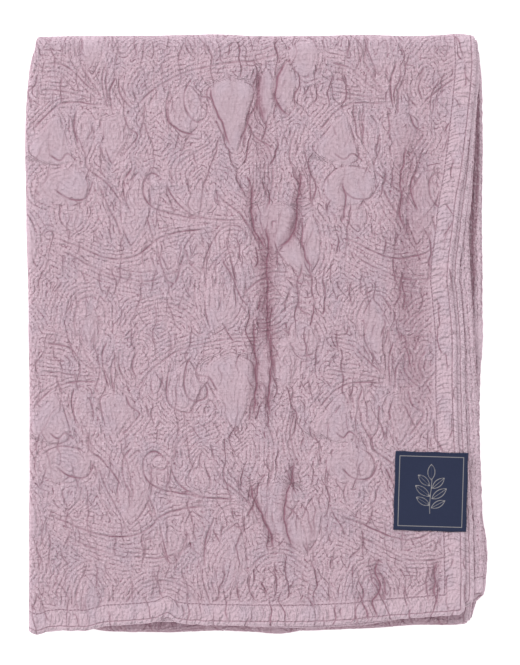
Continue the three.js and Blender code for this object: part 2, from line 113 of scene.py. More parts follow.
LEFT_EDGE = table(
    "y x",
    (-300, -229), (-170, -228.5), (-60, -228.5), (34, -229.5), (100, -231), (150, -232), (204, -232.5),
    (250, -230), (274, -226.5), (300, -219),
)

# Right edges by place along the pile: the hem on top, the hem under it, the fold below them, and
# the same fold in the second quarter and in the two quarters at the bottom
RIGHT_EDGES = table(
    "y hem under fold second lower",
    (-300, 207, 214, 224, 225, 218),
    (-275, 207, 216, 225, 228, 220),
    (-252, 207.5, 216, 226.5, 229.6, 224),
    (-230, 207, 215.5, 225.5, 229, 226),
    (-204, 206.5, 215, 224.5, 225.5, 225),
    (-160, 203, 211.5, 223, 223, 222),
    (-118, 200.5, 209, 221.5, 222, 221),
    (-53, 198.5, 207, 218.5, 223, 222),
    (-12, 198.5, 206.5, 216.5, 225, 223),
    (28, 195.5, 203.5, 214, 225, 223),
    (55, 193.5, 201.5, 212.5, 225, 223.5),
    (100, 198.5, 206.5, 211.5, 224.5, 223),
    (127, 201.5, 209.5, 213.5, 224.5, 223),
    (158, 207, 213.5, 215.5, 225, 224),
    (216, 214, 217.5, 218.5, 225, 224),
    (263, 218, 221.5, 221.5, 224, 223),
    (300, 217, 219, 219, 221, 220),
)

# Near edges by place across the pile: the hem on top, how much further in the layers under it
# end, the hem of the second quarter, and the fold at the bottom
NEAR_EDGES = table(
    "x hem inset second fold",
    (-230, -297, 2, -290, -292),
    (-220, -299.5, 3, -290, -293),
    (-206, -295.5, 3, -290, -293),
    (-172, -295.5, 4, -289, -296.5),
    (-153, -291, 4, -287, -299.8),
    (-134, -290, 4, -286, -300.3),
    (-102, -286.7, 3, -285, -300.8),
    (-90, -281.8, 2, -285, -301),
    (-79, -287.8, 4, -286, -300.6),
    (-35, -290.2, 4, -290, -299.2),
    (21, -290.8, 4, -294, -301.7),
    (46, -290.7, 4, -294, -299),
    (87, -289, 4, -293, -298),
    (126, -285, 4, -288, -296),
    (160, -282.5, 6, -282, -293.5),
    (200, -279.8, 14, -272, -293),
    (230, -279, 17, -264, -288),
)

# How far the top layer bulges past the far edge, most where its hem goes over the fold
FAR_BULGES = table(
    "x bulge",
    (-220, 1.2), (-150, 2.2), (-100, 2.4), (-42, 3.4), (0, 1.8), (60, 2.2), (110, 3.0), (150, 1.9),
    (185, 2.8), (203, 4.2), (218, 1.6),
)
BULGING_LAYER = (2.92 * LAYER_PITCH, 3.08 * LAYER_PITCH)

# One repeat of the quilting, placed from its far left corner, across and down. The stuffed leaves,
# bells and petals have half sizes, a turn in degrees, a rise and how smooth they are. A bell
# narrows to its foot, a leaf to both ends.
REPEAT = {"across": 286, "down": 279, "left": -229.5, "far": 298}
PUFFS = table(
    "name form at half turn rise smooth",
    ("left bell", "bell", (25, 102), (22, 25), 168, 0.78, 0.92),
    ("bell fold", "leaf", (57, 99), (9, 24), 4, 0.51, 0.5),
    ("middle bell", "bell", (88, 103), (17, 26), -3, 0.73, 0.8),
    ("tulip", "oval", (36, 149), (26, 20), 4, 0.78, 0.92),
    ("tulip foot", "leaf", (42, 178), (11, 18), 0, 0.47, 0.6),
    ("stem leaf", "leaf", (107, 172), (15, 38), -6, 0.7, 0.78),
    ("scroll eye", "oval", (130, 147), (7, 7), 0, 0.37, 0.3),
    ("scroll petal", "bell", (172, 158), (13, 18), 176, 0.51, 0.65),
    ("crescent", "leaf", (157, 73), (17, 27), -6, 0.49, 0.55),
    ("great bell", "bell", (204, 78), (25, 38), 4, 1.5, 1.0),
    ("near leaf", "leaf", (239, 58), (9, 30), 0, 1.17, 0.95),
    ("far leaf", "leaf", (257, 50), (11, 28), -4, 1.01, 0.85),
    ("top petal", "oval", (276, 21), (15, 19), 10, 1.01, 0.85),
    ("oval petal", "bell", (247, 193), (23, 27), -6, 1.19, 0.85),
    ("side petal", "leaf", (262, 213), (13, 34), 34, 1.3, 1.0),
    ("leaning leaf", "leaf", (284, 208), (11, 30), -5, 1.13, 0.9),
    ("sweeping leaf", "leaf", (197, 254), (21, 46), -14, 0.74, 0.6),
    ("small tulip", "bell", (143, 233), (13, 19), 0, 0.51, 0.55),
    ("tulip leaf", "leaf", (170, 215), (12, 20), 12, 0.41, 0.25),
    ("hooked leaf", "leaf", (62, 290), (11, 27), 6, 0.65, 0.75),
    ("bud", "bell", (62, 15), (9, 17), 0, 0.47, 0.6),
    ("leaf tip", "leaf", (128, 66), (5, 14), -12, 0.31, 0.3),
)

# The quilting's lines in one repeat, as curves through named places, across and down, with how
# deep each is. Rows of stitches echo them, one row pitch apart.
STEMS = table(
    "name line places",
    ("long plume", 0.8, [(104, 78), (120, 57), (142, 41), (170, 30), (205, 24), (240, 20), (264, 8)]),
    ("low fan", 0.9, [(74, 68), (46, 66), (24, 74), (4, 96)]),
    ("middle fan", 0.7, [(74, 63), (46, 58), (12, 54)]),
    ("high fan", 0.8, [(72, 60), (54, 44), (38, 30), (16, 26)]),
    ("tall fan", 0.7, [(72, 58), (60, 40), (52, 22), (56, 2)]),
    ("upright", 1, [(80, 24), (75, 42), (77, 62), (80, 74)]),
    ("second upright", 1, [(90, 40), (83, 54), (84, 76)]),
    ("left cup", 0.8, [(93, 36), (92, 52), (97, 64), (106, 72)]),
    ("right cup", 0.8, [(112, 34), (105, 48), (110, 64)]),
    ("crescent", 1, [(143, 48), (138, 66), (141, 84), (152, 93), (168, 97)]),
    ("hook", 0.9, [(166, 38), (157, 54), (157, 72), (166, 84), (178, 80), (178, 68), (168, 66)]),
    ("shoulder", 0.8, [(170, 60), (182, 62), (189, 76)]),
    ("curl", 0.6, [(188, 96), (180, 107), (160, 118), (148, 131), (150, 148)]),
    ("ess", 0.9, [(96, 76), (100, 90), (110, 97), (104, 108), (94, 122)]),
    ("neck", 0.9, [(48, 72), (46, 90), (50, 108)]),
    ("shell", 0.9, [(58, 116), (60, 132), (74, 144), (88, 158), (96, 172)]),
    ("column", 1, [(70, 150), (78, 168), (88, 186), (94, 200)]),
    ("scroll back", 1, [(106, 130), (97, 146), (98, 164), (103, 176)]),
    ("scroll", 1, [(128, 150), (133, 142), (124, 136), (116, 144), (116, 160), (126, 172), (148, 178),
     (182, 182), (216, 185)]),
    ("scroll foot", 0.9, [(139, 146), (146, 162), (160, 176), (184, 182)]),
    ("high swag", 1, [(22, 198), (48, 210), (82, 222), (112, 218), (132, 202), (156, 194), (184, 190)]),
    ("low swag", 0.7, [(30, 212), (56, 228), (86, 240), (116, 243), (146, 237), (172, 222)]),
    ("right foot", 0.9, [(186, 150), (196, 166), (214, 180), (224, 194), (232, 210)]),
    ("rosette", 0.7, [(190, 214), (188, 200), (200, 190), (216, 192), (220, 206), (210, 214),
     (202, 207)]),
    ("leaf side", 0.9, [(186, 202), (178, 222), (178, 254)]),
    ("left tip", 0.9, [(130, 204), (134, 226), (140, 244), (148, 246), (156, 226), (160, 214)]),
    ("right tip", 0.8, [(160, 214), (164, 230), (176, 240)]),
    ("leaf pair", 0.8, [(118, 178), (124, 194), (128, 208)]),
    ("tulip cup", 1, [(26, 152), (42, 162), (58, 160), (66, 144)]),
    ("bell hem", 0.9, [(20, 116), (30, 122), (38, 116), (48, 124)]),
    ("hooked leaf", 0.6, [(50, 306), (45, 284), (52, 264), (66, 260), (76, 272), (76, 288)]),
    ("arch", 0.6, [(94, 292), (110, 273), (134, 265), (158, 274), (172, 292)]),
    ("right frond", 0.7, [(230, 100), (244, 120), (246, 150), (236, 176)]),
    ("far frond", 0.7, [(268, 90), (262, 120), (272, 150)]),
    ("near frond", 0.7, [(214, 262), (232, 244), (256, 240), (280, 252)]),
)
ECHO_REACH = 34.0
ROW_PITCH = 4.3
STITCH_PITCH = 3.7
CURVE_PARTS = 5

# The longest creases of the top face, as troughs on curves through named places, with how far the trough is
# darkened with painted shade and how strong the line of painted shade at its bottom is
CREASES = table(
    "name half_width depth shade line places",
    ("middle valley", 13, 1.2, 0.3, 0, [(6, 290), (0, 242), (4, 194), (8, 144), (9, 66), (9, 10),
     (2, -50), (-3, -106)]),
    ("valley floor", 11, 1.6, 1, 1, [(9, 122), (10, 88), (9, 44), (10, 4), (9, -24)]),
    ("valley left", 5, 1.1, 0.8, 1, [(-4, 26), (-3, -8), (-1, -50), (-5, -92)]),
    ("valley right", 5, 1.1, 0.8, 1, [(12, 16), (14, -28), (11, -60), (13, -90)]),
    ("valley lip", 9, -1.1, 0, 0, [(-14, 128), (-13, 60), (-12, 0), (-11, -50), (-14, -104)]),
    ("petal left", 6, 1.2, 0.7, 1, [(-3, 159), (-6, 130), (-2, 104), (6, 87), (13, 80)]),
    ("petal right", 7, 1.2, 0.9, 1, [(46, 172), (41, 140), (38, 112), (30, 94), (16, 81)]),
    ("leaning leaf", 5, 0.7, 0.4, 0.9, [(45, 122), (45, 96), (48, 78), (60, 62)]),
    ("leaf foot", 4, 0.5, 0.2, 0.7, [(47, 76), (40, 49), (42, 29), (54, 14)]),
    ("long slant", 4, 0.5, 0.1, 0.8, [(-40, 84), (-27, 61), (-17, 39), (-5, 22)]),
    ("bell left", 5, 0.7, 0.3, 1, [(-49, 252), (-45, 236), (-37, 214), (-26, 185)]),
    ("bell right", 5, 0.6, 0.3, 0.9, [(2, 244), (-3, 227), (-9, 213), (-20, 188)]),
    ("bell gap", 6, 1.3, 1, 0.6, [(1, 268), (2, 244), (3, 226), (8, 208)]),
    ("far leaf", 5, 0.7, 0.5, 1, [(32, 278), (22, 260), (18, 242), (24, 227), (36, 217)]),
    ("hooked fold", 4, 0.5, 0.2, 0.8, [(-8, 214), (-3, 199), (8, 190), (20, 184)]),
    ("upright fold", 4, 0.6, 0.2, 0.9, [(86, 156), (88, 134), (85, 110)]),
    ("side valley", 21, 0.8, 0.5, 0, [(160, 240), (154, 184), (152, 124), (150, 72), (152, 24),
     (155, -26), (158, -106)]),
    ("side valley floor", 13, 0.5, 0.62, 0, [(148, 96), (147, 60), (150, 20), (154, -14)]),
    ("side fold", 5, 0.7, 0.4, 1, [(150, 196), (144, 160), (143, 126), (148, 96)]),
    ("near fold", 6, 1.1, 0.6, 1, [(-8, -140), (-4, -163), (6, -184), (14, -200), (15, -222)]),
    ("near fork", 6, 1.1, 0.6, 1, [(37, -120), (34, -144), (28, -168), (28, -192), (38, -220)]),
    ("hem fold", 6, 0.9, 0.5, 1, [(123, -218), (118, -238), (124, -252), (116, -268), (121, -289)]),
    ("hem branch", 5, 0.6, 0.3, 0.9, [(100, -256), (106, -268), (112, -288)]),
    ("corner fold", 6, 0.9, 0.5, 0.9, [(180, -222), (177, -250), (181, -276)]),
)
# Across the pile, how crumpled the cloth is
CRUMPLED = table(
    "x share",
    (-235, 0.75), (-60, 0.75), (-20, 1), (40, 1), (110, 0.9), (230, 0.9),
)

# Where the strips past the right edge start, how far the painted shade over the lowest of them reaches, and
# where the rolled far and left edges start, with their widths; these edges get a painted sheen
STRIPS_START = 150
SHADE_END = 205
FAR_ROLL = {"start": 276, "width": 22}
LEFT_ROLL = {"start": -214, "width": 14}

# The label, sewn over the hem near the corner: its place and its turn in degrees, the margin that
# is kept smooth round it, the step of its mesh, the gap under it, its turned edges, and the
# stitches that hold it
LABEL = {"across": 73, "along": 79, "x": 173.5, "y": -157, "turn": -1.7, "lift": 0.45, "thickness": 0.8}
LABEL_MARGIN = 12
LABEL_STEP = 0.75
LABEL_GAP = 0.4
LABEL_TURNING = {"width": 3.4, "rise": 0.16, "inset": 0.25}
LABEL_STITCHES = {"inset": 1.3, "first": 0.8, "last": 2.4, "pitch": 2.9, "length": 1.9}

# The width of the top face and how far its hem stitches stop before its far end
TOP_WIDTH = 430
HEM_STITCHES_STOP = 8

# A stitch at places along it, with the size and the rise of its thread there, in thread radii, and
# the sides of its thread
STITCH_RINGS = table("share size rise", (0, 0.4, -0.7), (0.22, 1, 0.35), (0.78, 1, 0.35), (1, 0.4, -0.7))
STITCH_SIDES = 6

# The photograph's long side at the top of the pile, and the place that its middle is over
PHOTO_LENGTH = 665
CAMERA_OVER = (3.5, 1.5)


class QuiltSizes(bpy.types.PropertyGroup):
    """Sizes of the quilt's finish, which its solids leave open"""
    relief: bpy.props.FloatProperty(
        name="Quilting height", description="Height of the quilting, as a share of the usual one",
        default=1.0, min=0.0, max=2.0, subtype="FACTOR",
    )
    stitch_length: bpy.props.FloatProperty(
        name="Stitch length", description="Length of one stitch of the hem's seam",
        default=0.0026, unit="LENGTH", subtype="DISTANCE",
    )
    stitch_pitch: bpy.props.FloatProperty(
        name="Stitch pitch", description="Distance from one stitch to the next",
        default=0.0038, unit="LENGTH", subtype="DISTANCE",
    )
    thread_radius: bpy.props.FloatProperty(
        name="Thread radius", description="Radius of the sewing thread",
        default=0.00028, unit="LENGTH", subtype="DISTANCE",
    )
    camera_height: bpy.props.FloatProperty(
        name="Camera height", description="Height of the camera above the top of the pile",
        default=3.7, unit="LENGTH", subtype="DISTANCE",
    )


class QuiltColours(bpy.types.PropertyGroup):
    """Colours of the quilt, its label and its threads"""
    cloth: bpy.props.FloatVectorProperty(
        name="Cloth", description="Colour of the washed cotton",
        default=(0.62, 0.456, 0.524), subtype="COLOR", min=0.0, max=1.0,
    )
    puff: bpy.props.FloatVectorProperty(
        name="Stuffed parts", description="Colour of the smooth, rubbed tops",
        default=(0.44, 0.322, 0.373), subtype="COLOR", min=0.0, max=1.0,
    )
    # The palest colour: real worn threads, and painted highlight on the rows' ridge tops, on the rolled
    # edges, along the cord and on the strips past the right edge, the last two partly wear as well
    worn_and_painted_highlight: bpy.props.FloatVectorProperty(
        name="Worn threads and painted highlights", description="Colour of the palest threads",
        default=(0.72, 0.55, 0.63), subtype="COLOR", min=0.0, max=1.0,
    )
    lavender: bpy.props.FloatVectorProperty(
        name="Cooler patches", description="Colour of the cloth where it has faded cooler",
        default=(0.52, 0.41, 0.485), subtype="COLOR", min=0.0, max=1.0,
    )
    # Painted shade: the bottom of the creases, the lower layers and the shadow under each overhanging edge
    shaded: bpy.props.FloatVectorProperty(
        name="Painted shade", description="Colour at the bottom of the folds, where the cloth is not worn",
        default=(0.30, 0.165, 0.21), subtype="COLOR", min=0.0, max=1.0,
    )
    # Painted shade in the stitched lines, rows, tucks, puckers and creases
    crease: bpy.props.FloatVectorProperty(
        name="Creases", description="Colour in the stitched lines and creases",
        default=(0.25, 0.10, 0.145), subtype="COLOR", min=0.0, max=1.0,
    )
    thread: bpy.props.FloatVectorProperty(
        name="Thread", description="Colour of the sewing thread",
        default=(0.56, 0.40, 0.475), subtype="COLOR", min=0.0, max=1.0,
    )
    label: bpy.props.FloatVectorProperty(
        name="Label", description="Colour of the label's satin ground",
        default=(0.0135, 0.020, 0.056), subtype="COLOR", min=0.0, max=1.0,
    )
    label_sheen: bpy.props.FloatVectorProperty(
        name="Label highlights", description="Colour of the label's paler threads",
        default=(0.028, 0.038, 0.09), subtype="COLOR", min=0.0, max=1.0,
    )
    ornament: bpy.props.FloatVectorProperty(
        name="Label ornament", description="Colour of the label's woven border and sprig",
        default=(0.34, 0.32, 0.32), subtype="COLOR", min=0.0, max=1.0,
    )


def smooth(share):
    """Eases a share of 0 to 1 at both ends."""
    share = np.clip(share, 0, 1)
    return share * share * (3 - 2 * share)


def mix(low, high, share):
    return low + (high - low) * share


def read_table(rows, key, column, place):
    """Reads one column of a table on a smooth curve through its rows."""
    keys = np.array([row[key] for row in rows], float)
    values = np.array([row[column] for row in rows], float)
    before = np.maximum(np.arange(len(keys)) - 1, 0)
    after = np.minimum(np.arange(len(keys)) + 1, len(keys) - 1)
    slopes = (values[after] - values[before]) / (keys[after] - keys[before])
    place = np.asarray(place, float)
    low = np.clip(np.searchsorted(keys, place, side="right") - 1, 0, len(keys) - 2)
    span = keys[low + 1] - keys[low]
    share = np.clip((place - keys[low]) / span, 0, 1)
    square = share * share
    cube = square * share
    return (
        values[low] * (2 * cube - 3 * square + 1)
        + values[low + 1] * (3 * square - 2 * cube)
        + span * slopes[low] * (cube - 2 * square + share)
        + span * slopes[low + 1] * (cube - square)
    )


def make_noise(seed):
    """A smooth wavy field between about -1 and 1, from slopes drawn once at the points of a grid."""
    angles = np.random.default_rng(seed).uniform(0, 2 * math.pi, (256, 256))
    slope_x, slope_y = np.cos(angles), np.sin(angles)

    def noise(x, y):
        column, row = np.floor(x).astype(int), np.floor(y).astype(int)
        part_x, part_y = x - column, y - row
        ease_x = part_x ** 3 * (part_x * (part_x * 6 - 15) + 10)
        ease_y = part_y ** 3 * (part_y * (part_y * 6 - 15) + 10)

        def corner(step_x, step_y):
            i, j = (column + step_x) % 256, (row + step_y) % 256
            return slope_x[i, j] * (part_x - step_x) + slope_y[i, j] * (part_y - step_y)

        near = mix(corner(0, 0), corner(1, 0), ease_x)
        far = mix(corner(0, 1), corner(1, 1), ease_x)
        return 1.5 * mix(near, far, ease_y)

    return noise


SLOW_ACROSS = make_noise(11)
SLOW_ALONG = make_noise(12)
QUICK_ACROSS = make_noise(13)
QUICK_ALONG = make_noise(14)
TUCK = make_noise(15)
LONG_TUCK = make_noise(16)
FINE_TUCK = make_noise(17)
TUCK_REACH = make_noise(18)
OUTLINE_BREAKS = make_noise(19)
PUCKER = make_noise(20)
SWELL = make_noise(21)
TONE = make_noise(22)
EDGE_WAVES = make_noise(23)

# The tucks of the washed cloth: the names of their distance and share, the noise that they are
# read from, their size across and along, their lean, where their breaks are read, and how strong
# and how high they are
TUCKS = table(
    "line share noise size lean breaks strength height",
    ("tuck", "tuck_share", TUCK, (9.5, 26), 0, 0, 1.0, 0.8),
    ("long_tuck", "long_share", LONG_TUCK, (18, 50), 0, 5, 0.9, 1.0),
    ("fine_tuck", "fine_share", FINE_TUCK, (6.5, 13), 0.25, 9, 1.0, 0.6),
)


def stations_of(cells, divisions):
    """Fine steps along the folded way of the cloth: the part that each is in and its share of it."""
    parts, shares, counts = [], [], []
    for name, count in cells.items():
        steps = np.arange(0 if not parts else 1, count * divisions + 1) / divisions
        parts += [name] * len(steps)
        shares.append(steps / count)
        counts.append(steps)
    return np.array(parts), np.concatenate(shares), np.concatenate(counts)


def from_hem(measure, length, cells):
    """Distance from the hem, where the first cell is the hem's width and the others share the rest."""
    rest = mix(HEM_WIDTH, length, (measure - 1) / (cells - 1))
    return np.where(measure <= 1, HEM_WIDTH * measure, rest)


def edges_at(along, share, measure):
    """The pile's left and right edges at each place along it."""
    place = np.select(
        [along == name for name in ALONG_CELLS],
        [
            NEAR_EDGE + from_hem(measure, FAR_TURN - NEAR_EDGE, ALONG_CELLS["top_length"]),
            FAR_TURN, mix(FAR_TURN, NEAR_EDGE, share), NEAR_EDGE,
            mix(NEAR_EDGE, FAR_TURN, share), FAR_TURN, mix(FAR_TURN, NEAR_EDGE, share),
        ],
    )
    top = np.select([along == "top_length", along == "outer_far_fold"], [1.0, 1 - smooth(share)], 0.0)
    second = np.select([along == "inner_far_fold", along == "second_length"], [smooth(share), 1.0], 0.0)
    below = mix(
        read_table(RIGHT_EDGES, "y", "lower", place), read_table(RIGHT_EDGES, "y", "second", place), second,
    )
    on_hem = (along == "top_length") | (along == "second_length")
    radius = np.where(on_hem, HEM_CORNER_RADIUS, LOWER_CORNER_RADIUS)
    reach = radius - np.clip(place - NEAR_EDGE, 0, radius)
    corner = radius - np.sqrt(radius ** 2 - reach ** 2)
    layer = np.select([along == name for name in ALONG_CELLS], np.arange(len(ALONG_CELLS)) * 11.0)

    def right(column, inset):
        wave = EDGE_WAVE * EDGE_WAVES(place / 7 + inset, layer) * np.where(column == "hem", 0.5, 1.0)
        return mix(below - inset, read_table(RIGHT_EDGES, "y", column, place), top) - corner + wave

    return {
        "left": read_table(LEFT_EDGE, "y", "x", place),
        "hem": right("hem", HEM_INSET_BELOW),
        "under": right("under", UNDER_HEM_INSET_BELOW),
        "fold": right("fold", 0.0),
    }


def place_across(across, share, measure, edges, lift):
    """Where points of the cloth lie in their quarter: place across, height, and place on the cloth."""
    left_turn = edges["left"] + SIDE_FOLD_REACH + SIDE_FOLD_REACH_PER_MM
    inner_turn = left_turn + INNER_SIDE_FOLD_INSET
    right_turn = edges["fold"] - LAYER_PITCH / 2
    turn = math.pi * share
    parts = [across == name for name in ACROSS_CELLS]
    top_x = edges["hem"] - from_hem(measure, edges["hem"] - left_turn, ACROSS_CELLS["top_run"])
    fourth_x = mix(left_turn, right_turn, share)
    third_x = mix(right_turn, inner_turn, share)
    second_x = mix(inner_turn, edges["under"], share)
    x = np.select(parts, [
        top_x,
        left_turn - (SIDE_FOLD_REACH + SIDE_FOLD_REACH_PER_MM * lift) * np.sin(turn),
        fourth_x,
        right_turn + (LAYER_PITCH / 2 + lift) * np.sin(turn),
        third_x,
        inner_turn - (LAYER_PITCH / 2 - lift) * np.sin(turn),
        second_x,
    ])
    height = np.select(parts, [
        3.5 * LAYER_PITCH + lift,
        2 * LAYER_PITCH + (1.5 * LAYER_PITCH + lift) * np.cos(turn),
        0.5 * LAYER_PITCH - lift,
        LAYER_PITCH - (LAYER_PITCH / 2 + lift) * np.cos(turn),
        1.5 * LAYER_PITCH + lift,
        2 * LAYER_PITCH - (LAYER_PITCH / 2 - lift) * np.cos(turn),
        2.5 * LAYER_PITCH - lift,
    ])
    after_outer = left_turn - SIDE_FOLD_LENGTHS["outer"]
    after_fourth = after_outer - (right_turn - left_turn)
    after_hem_fold = after_fourth - SIDE_FOLD_LENGTHS["hem"]
    after_third = after_hem_fold - (right_turn - inner_turn)
    after_inner = after_third - SIDE_FOLD_LENGTHS["inner"]
    on_cloth = np.select(parts, [
        top_x,
        left_turn - SIDE_FOLD_LENGTHS["outer"] * share,
        after_outer - (fourth_x - left_turn),
        after_fourth - SIDE_FOLD_LENGTHS["hem"] * share,
        after_hem_fold - (right_turn - third_x),
        after_third - SIDE_FOLD_LENGTHS["inner"] * share,
        after_inner - (second_x - inner_turn),
    ])
    side_hem = np.select(
        [across == "top_run", across == "second_run"], [edges["hem"] - x, edges["under"] - x], FAR_FROM_HEM,
    )
    return x, height, on_cloth, side_hem


def cover_share(across, share):
    """How far under the top layer a place is, from 0 to 1."""
    return np.select(
        [across == name for name in ("top_run", "outer_side_fold", "inner_side_fold", "second_run")],
        [0.0, smooth(share), 1 - smooth(share) / 2, 0.5],
        1.0,
    )


def far_turn_at(x, height):
    """Where the layers leave their flat run for the far fold."""
    low, high = BULGING_LAYER
    return FAR_TURN + smooth((height - low) / (high - low)) * read_table(FAR_BULGES, "x", "bulge", x)


def place_along(x, height, along, share, measure, cover):
    """Folds points of a quarter into the pile: place along, height, and place on the cloth."""
    far_turn = far_turn_at(x, height)
    near_turn = read_table(NEAR_EDGES, "x", "fold", x) + NEAR_FOLD_REACH_PER_MM * QUARTER_HEIGHT
    hem = read_table(NEAR_EDGES, "x", "hem", x) + cover * read_table(NEAR_EDGES, "x", "inset", x)
    hem = hem + EDGE_WAVE * EDGE_WAVES(x / 8, 90 + 3 * cover)
    second_hem = read_table(NEAR_EDGES, "x", "second", x) + (1 - cover) * UNDER_HEM_INSET_BELOW
    turn = math.pi * share
    parts = [along == name for name in ALONG_CELLS]
    top_y = hem + from_hem(measure, far_turn - hem, ALONG_CELLS["top_length"])
    bottom_y = mix(far_turn, near_turn, share)
    third_y = mix(near_turn, INNER_FAR_TURN, share)
    second_y = mix(INNER_FAR_TURN, second_hem, share)
    y = np.select(parts, [
        top_y,
        far_turn + (FAR_FOLD_REACH + FAR_FOLD_REACH_PER_MM * height) * np.sin(turn),
        bottom_y,
        near_turn - NEAR_FOLD_REACH_PER_MM * height * np.sin(turn),
        third_y,
        INNER_FAR_TURN + FAR_FOLD_REACH_PER_MM * (QUARTER_HEIGHT - height) * np.sin(turn),
        second_y,
    ])
    z = np.select(parts, [
        3 * QUARTER_HEIGHT + height,
        2 * QUARTER_HEIGHT + (QUARTER_HEIGHT + height) * np.cos(turn),
        QUARTER_HEIGHT - height,
        QUARTER_HEIGHT - height * np.cos(turn),
        QUARTER_HEIGHT + height,
        2 * QUARTER_HEIGHT - (QUARTER_HEIGHT - height) * np.cos(turn),
        3 * QUARTER_HEIGHT - height,
    ])
    after_outer = far_turn + FAR_FOLD_LENGTHS["outer"]
    after_bottom = after_outer + far_turn - near_turn
    after_near = after_bottom + FAR_FOLD_LENGTHS["near"]
    after_third = after_near + INNER_FAR_TURN - near_turn
    after_inner = after_third + FAR_FOLD_LENGTHS["inner"]
    on_cloth = np.select(parts, [
        top_y,
        far_turn + FAR_FOLD_LENGTHS["outer"] * share,
        after_outer + far_turn - bottom_y,
        after_bottom + FAR_FOLD_LENGTHS["near"] * share,
        after_near + third_y - near_turn,
        after_third + FAR_FOLD_LENGTHS["inner"] * share,
        after_inner + INNER_FAR_TURN - second_y,
    ])
    near_hem = np.select(
        [along == "top_length", along == "second_length"], [y - hem, y - second_hem], FAR_FROM_HEM,
    )
    return y, z, on_cloth, near_hem


def settled(x, y, z):
    """The pile settles unevenly: a share of its height that varies slowly over it."""
    waves = (
        0.5 * np.sin(x / 71 + 0.6) * np.cos(y / 93 - 0.4)
        + 0.3 * np.sin(y / 47 + x / 160)
        + 0.2 * np.cos(x / 38 - y / 120)
    )
    return z * (1 + SAG * waves)


def in_repeat(across, down, at):
    """Offsets from a motif's place to the nearest of its repeats."""
    right = across - at[0]
    lower = down - at[1]
    right = right - REPEAT["across"] * np.round(right / REPEAT["across"])
    lower = lower - REPEAT["down"] * np.round(lower / REPEAT["down"])
    return right, lower


def inside_puff(puff, right, lower):
    """Distance inside a stuffed motif's outline, negative outside it."""
    turn = math.radians(puff["turn"])
    aside = right * math.cos(turn) - lower * math.sin(turn)
    along = right * math.sin(turn) + lower * math.cos(turn)
    half_across, half_along = puff["half"]
    if puff["form"] == "oval":
        return (1 - np.hypot(aside / half_across, along / half_along)) * min(half_across, half_along)
    share = np.clip(along / half_along, -1, 1)
    if puff["form"] == "leaf":
        width = half_across * (1 - share * share)
    else:
        width = half_across * 1.25 * ((1 - share) / 2) ** 0.8 * (1 - np.maximum(-share, 0) ** 5)
    past_end = np.maximum(np.abs(along) - half_along, 0)
    return (width - np.abs(aside)) * 0.85 - past_end


# The greatest distance from a line that is kept
NO_LINE = 6.0


def beside(distance):
    """1 beside a line, and 0 where another line may be as near, on the other side."""
    return smooth((4.6 - np.abs(distance)) / 1.4)


def line_mask(distance, width):
    """1 on a line, fading to 0 at its width."""
    return 1 - smooth(np.abs(distance) / width)


def curve_through(places):
    """A smooth curve through places, as the ends of its short straight parts."""
    rows = [{"step": step, "x": place[0], "y": place[1]} for step, place in enumerate(places)]
    steps = np.linspace(0, len(rows) - 1, CURVE_PARTS * (len(rows) - 1) + 1)
    return np.stack([read_table(rows, "step", axis, steps) for axis in ("x", "y")], -1)


def from_curve(curve, x, y, reach):
    """Which points lie near a curve, their signed distance from it, and their place along it."""
    low, high = curve.min(axis=0) - reach, curve.max(axis=0) + reach
    near = np.flatnonzero((x > low[0]) & (x < high[0]) & (y > low[1]) & (y < high[1]))
    near_x, near_y = x[near], y[near]
    distance, along, travelled = np.full(near.shape, reach), np.zeros(near.shape), 0
    for start, end in zip(curve, curve[1:]):
        run = end - start
        length = np.hypot(*run)
        part = np.clip(((near_x - start[0]) * run[0] + (near_y - start[1]) * run[1]) / length ** 2, 0, 1)
        off_x, off_y = near_x - start[0] - part * run[0], near_y - start[1] - part * run[1]
        size = np.hypot(off_x, off_y)
        closer = size < np.abs(distance)
        side = np.where(run[0] * off_y - run[1] * off_x > 0, 1, -1)
        distance = np.where(closer, side * size, distance)
        along = np.where(closer, travelled + part * length, along)
        travelled += length
    return near, distance, along / travelled


def stems_at(across, down):
    """Signed distance and strength of the nearest of the quilting's lines."""
    stem, share = np.full(across.shape, ECHO_REACH), np.zeros(across.shape)
    for row in STEMS:
        curve = curve_through(row["places"])
        middle = curve.mean(axis=0)
        near, distance, part = from_curve(curve - middle, *in_repeat(across, down, middle), ECHO_REACH)
        closer = np.abs(distance) < np.abs(stem[near])
        fade = row["line"] * smooth(np.minimum(part, 1 - part) * 9)
        stem[near] = np.where(closer, distance, stem[near])
        share[near] = np.where(closer, fade, share[near])
    return stem, share


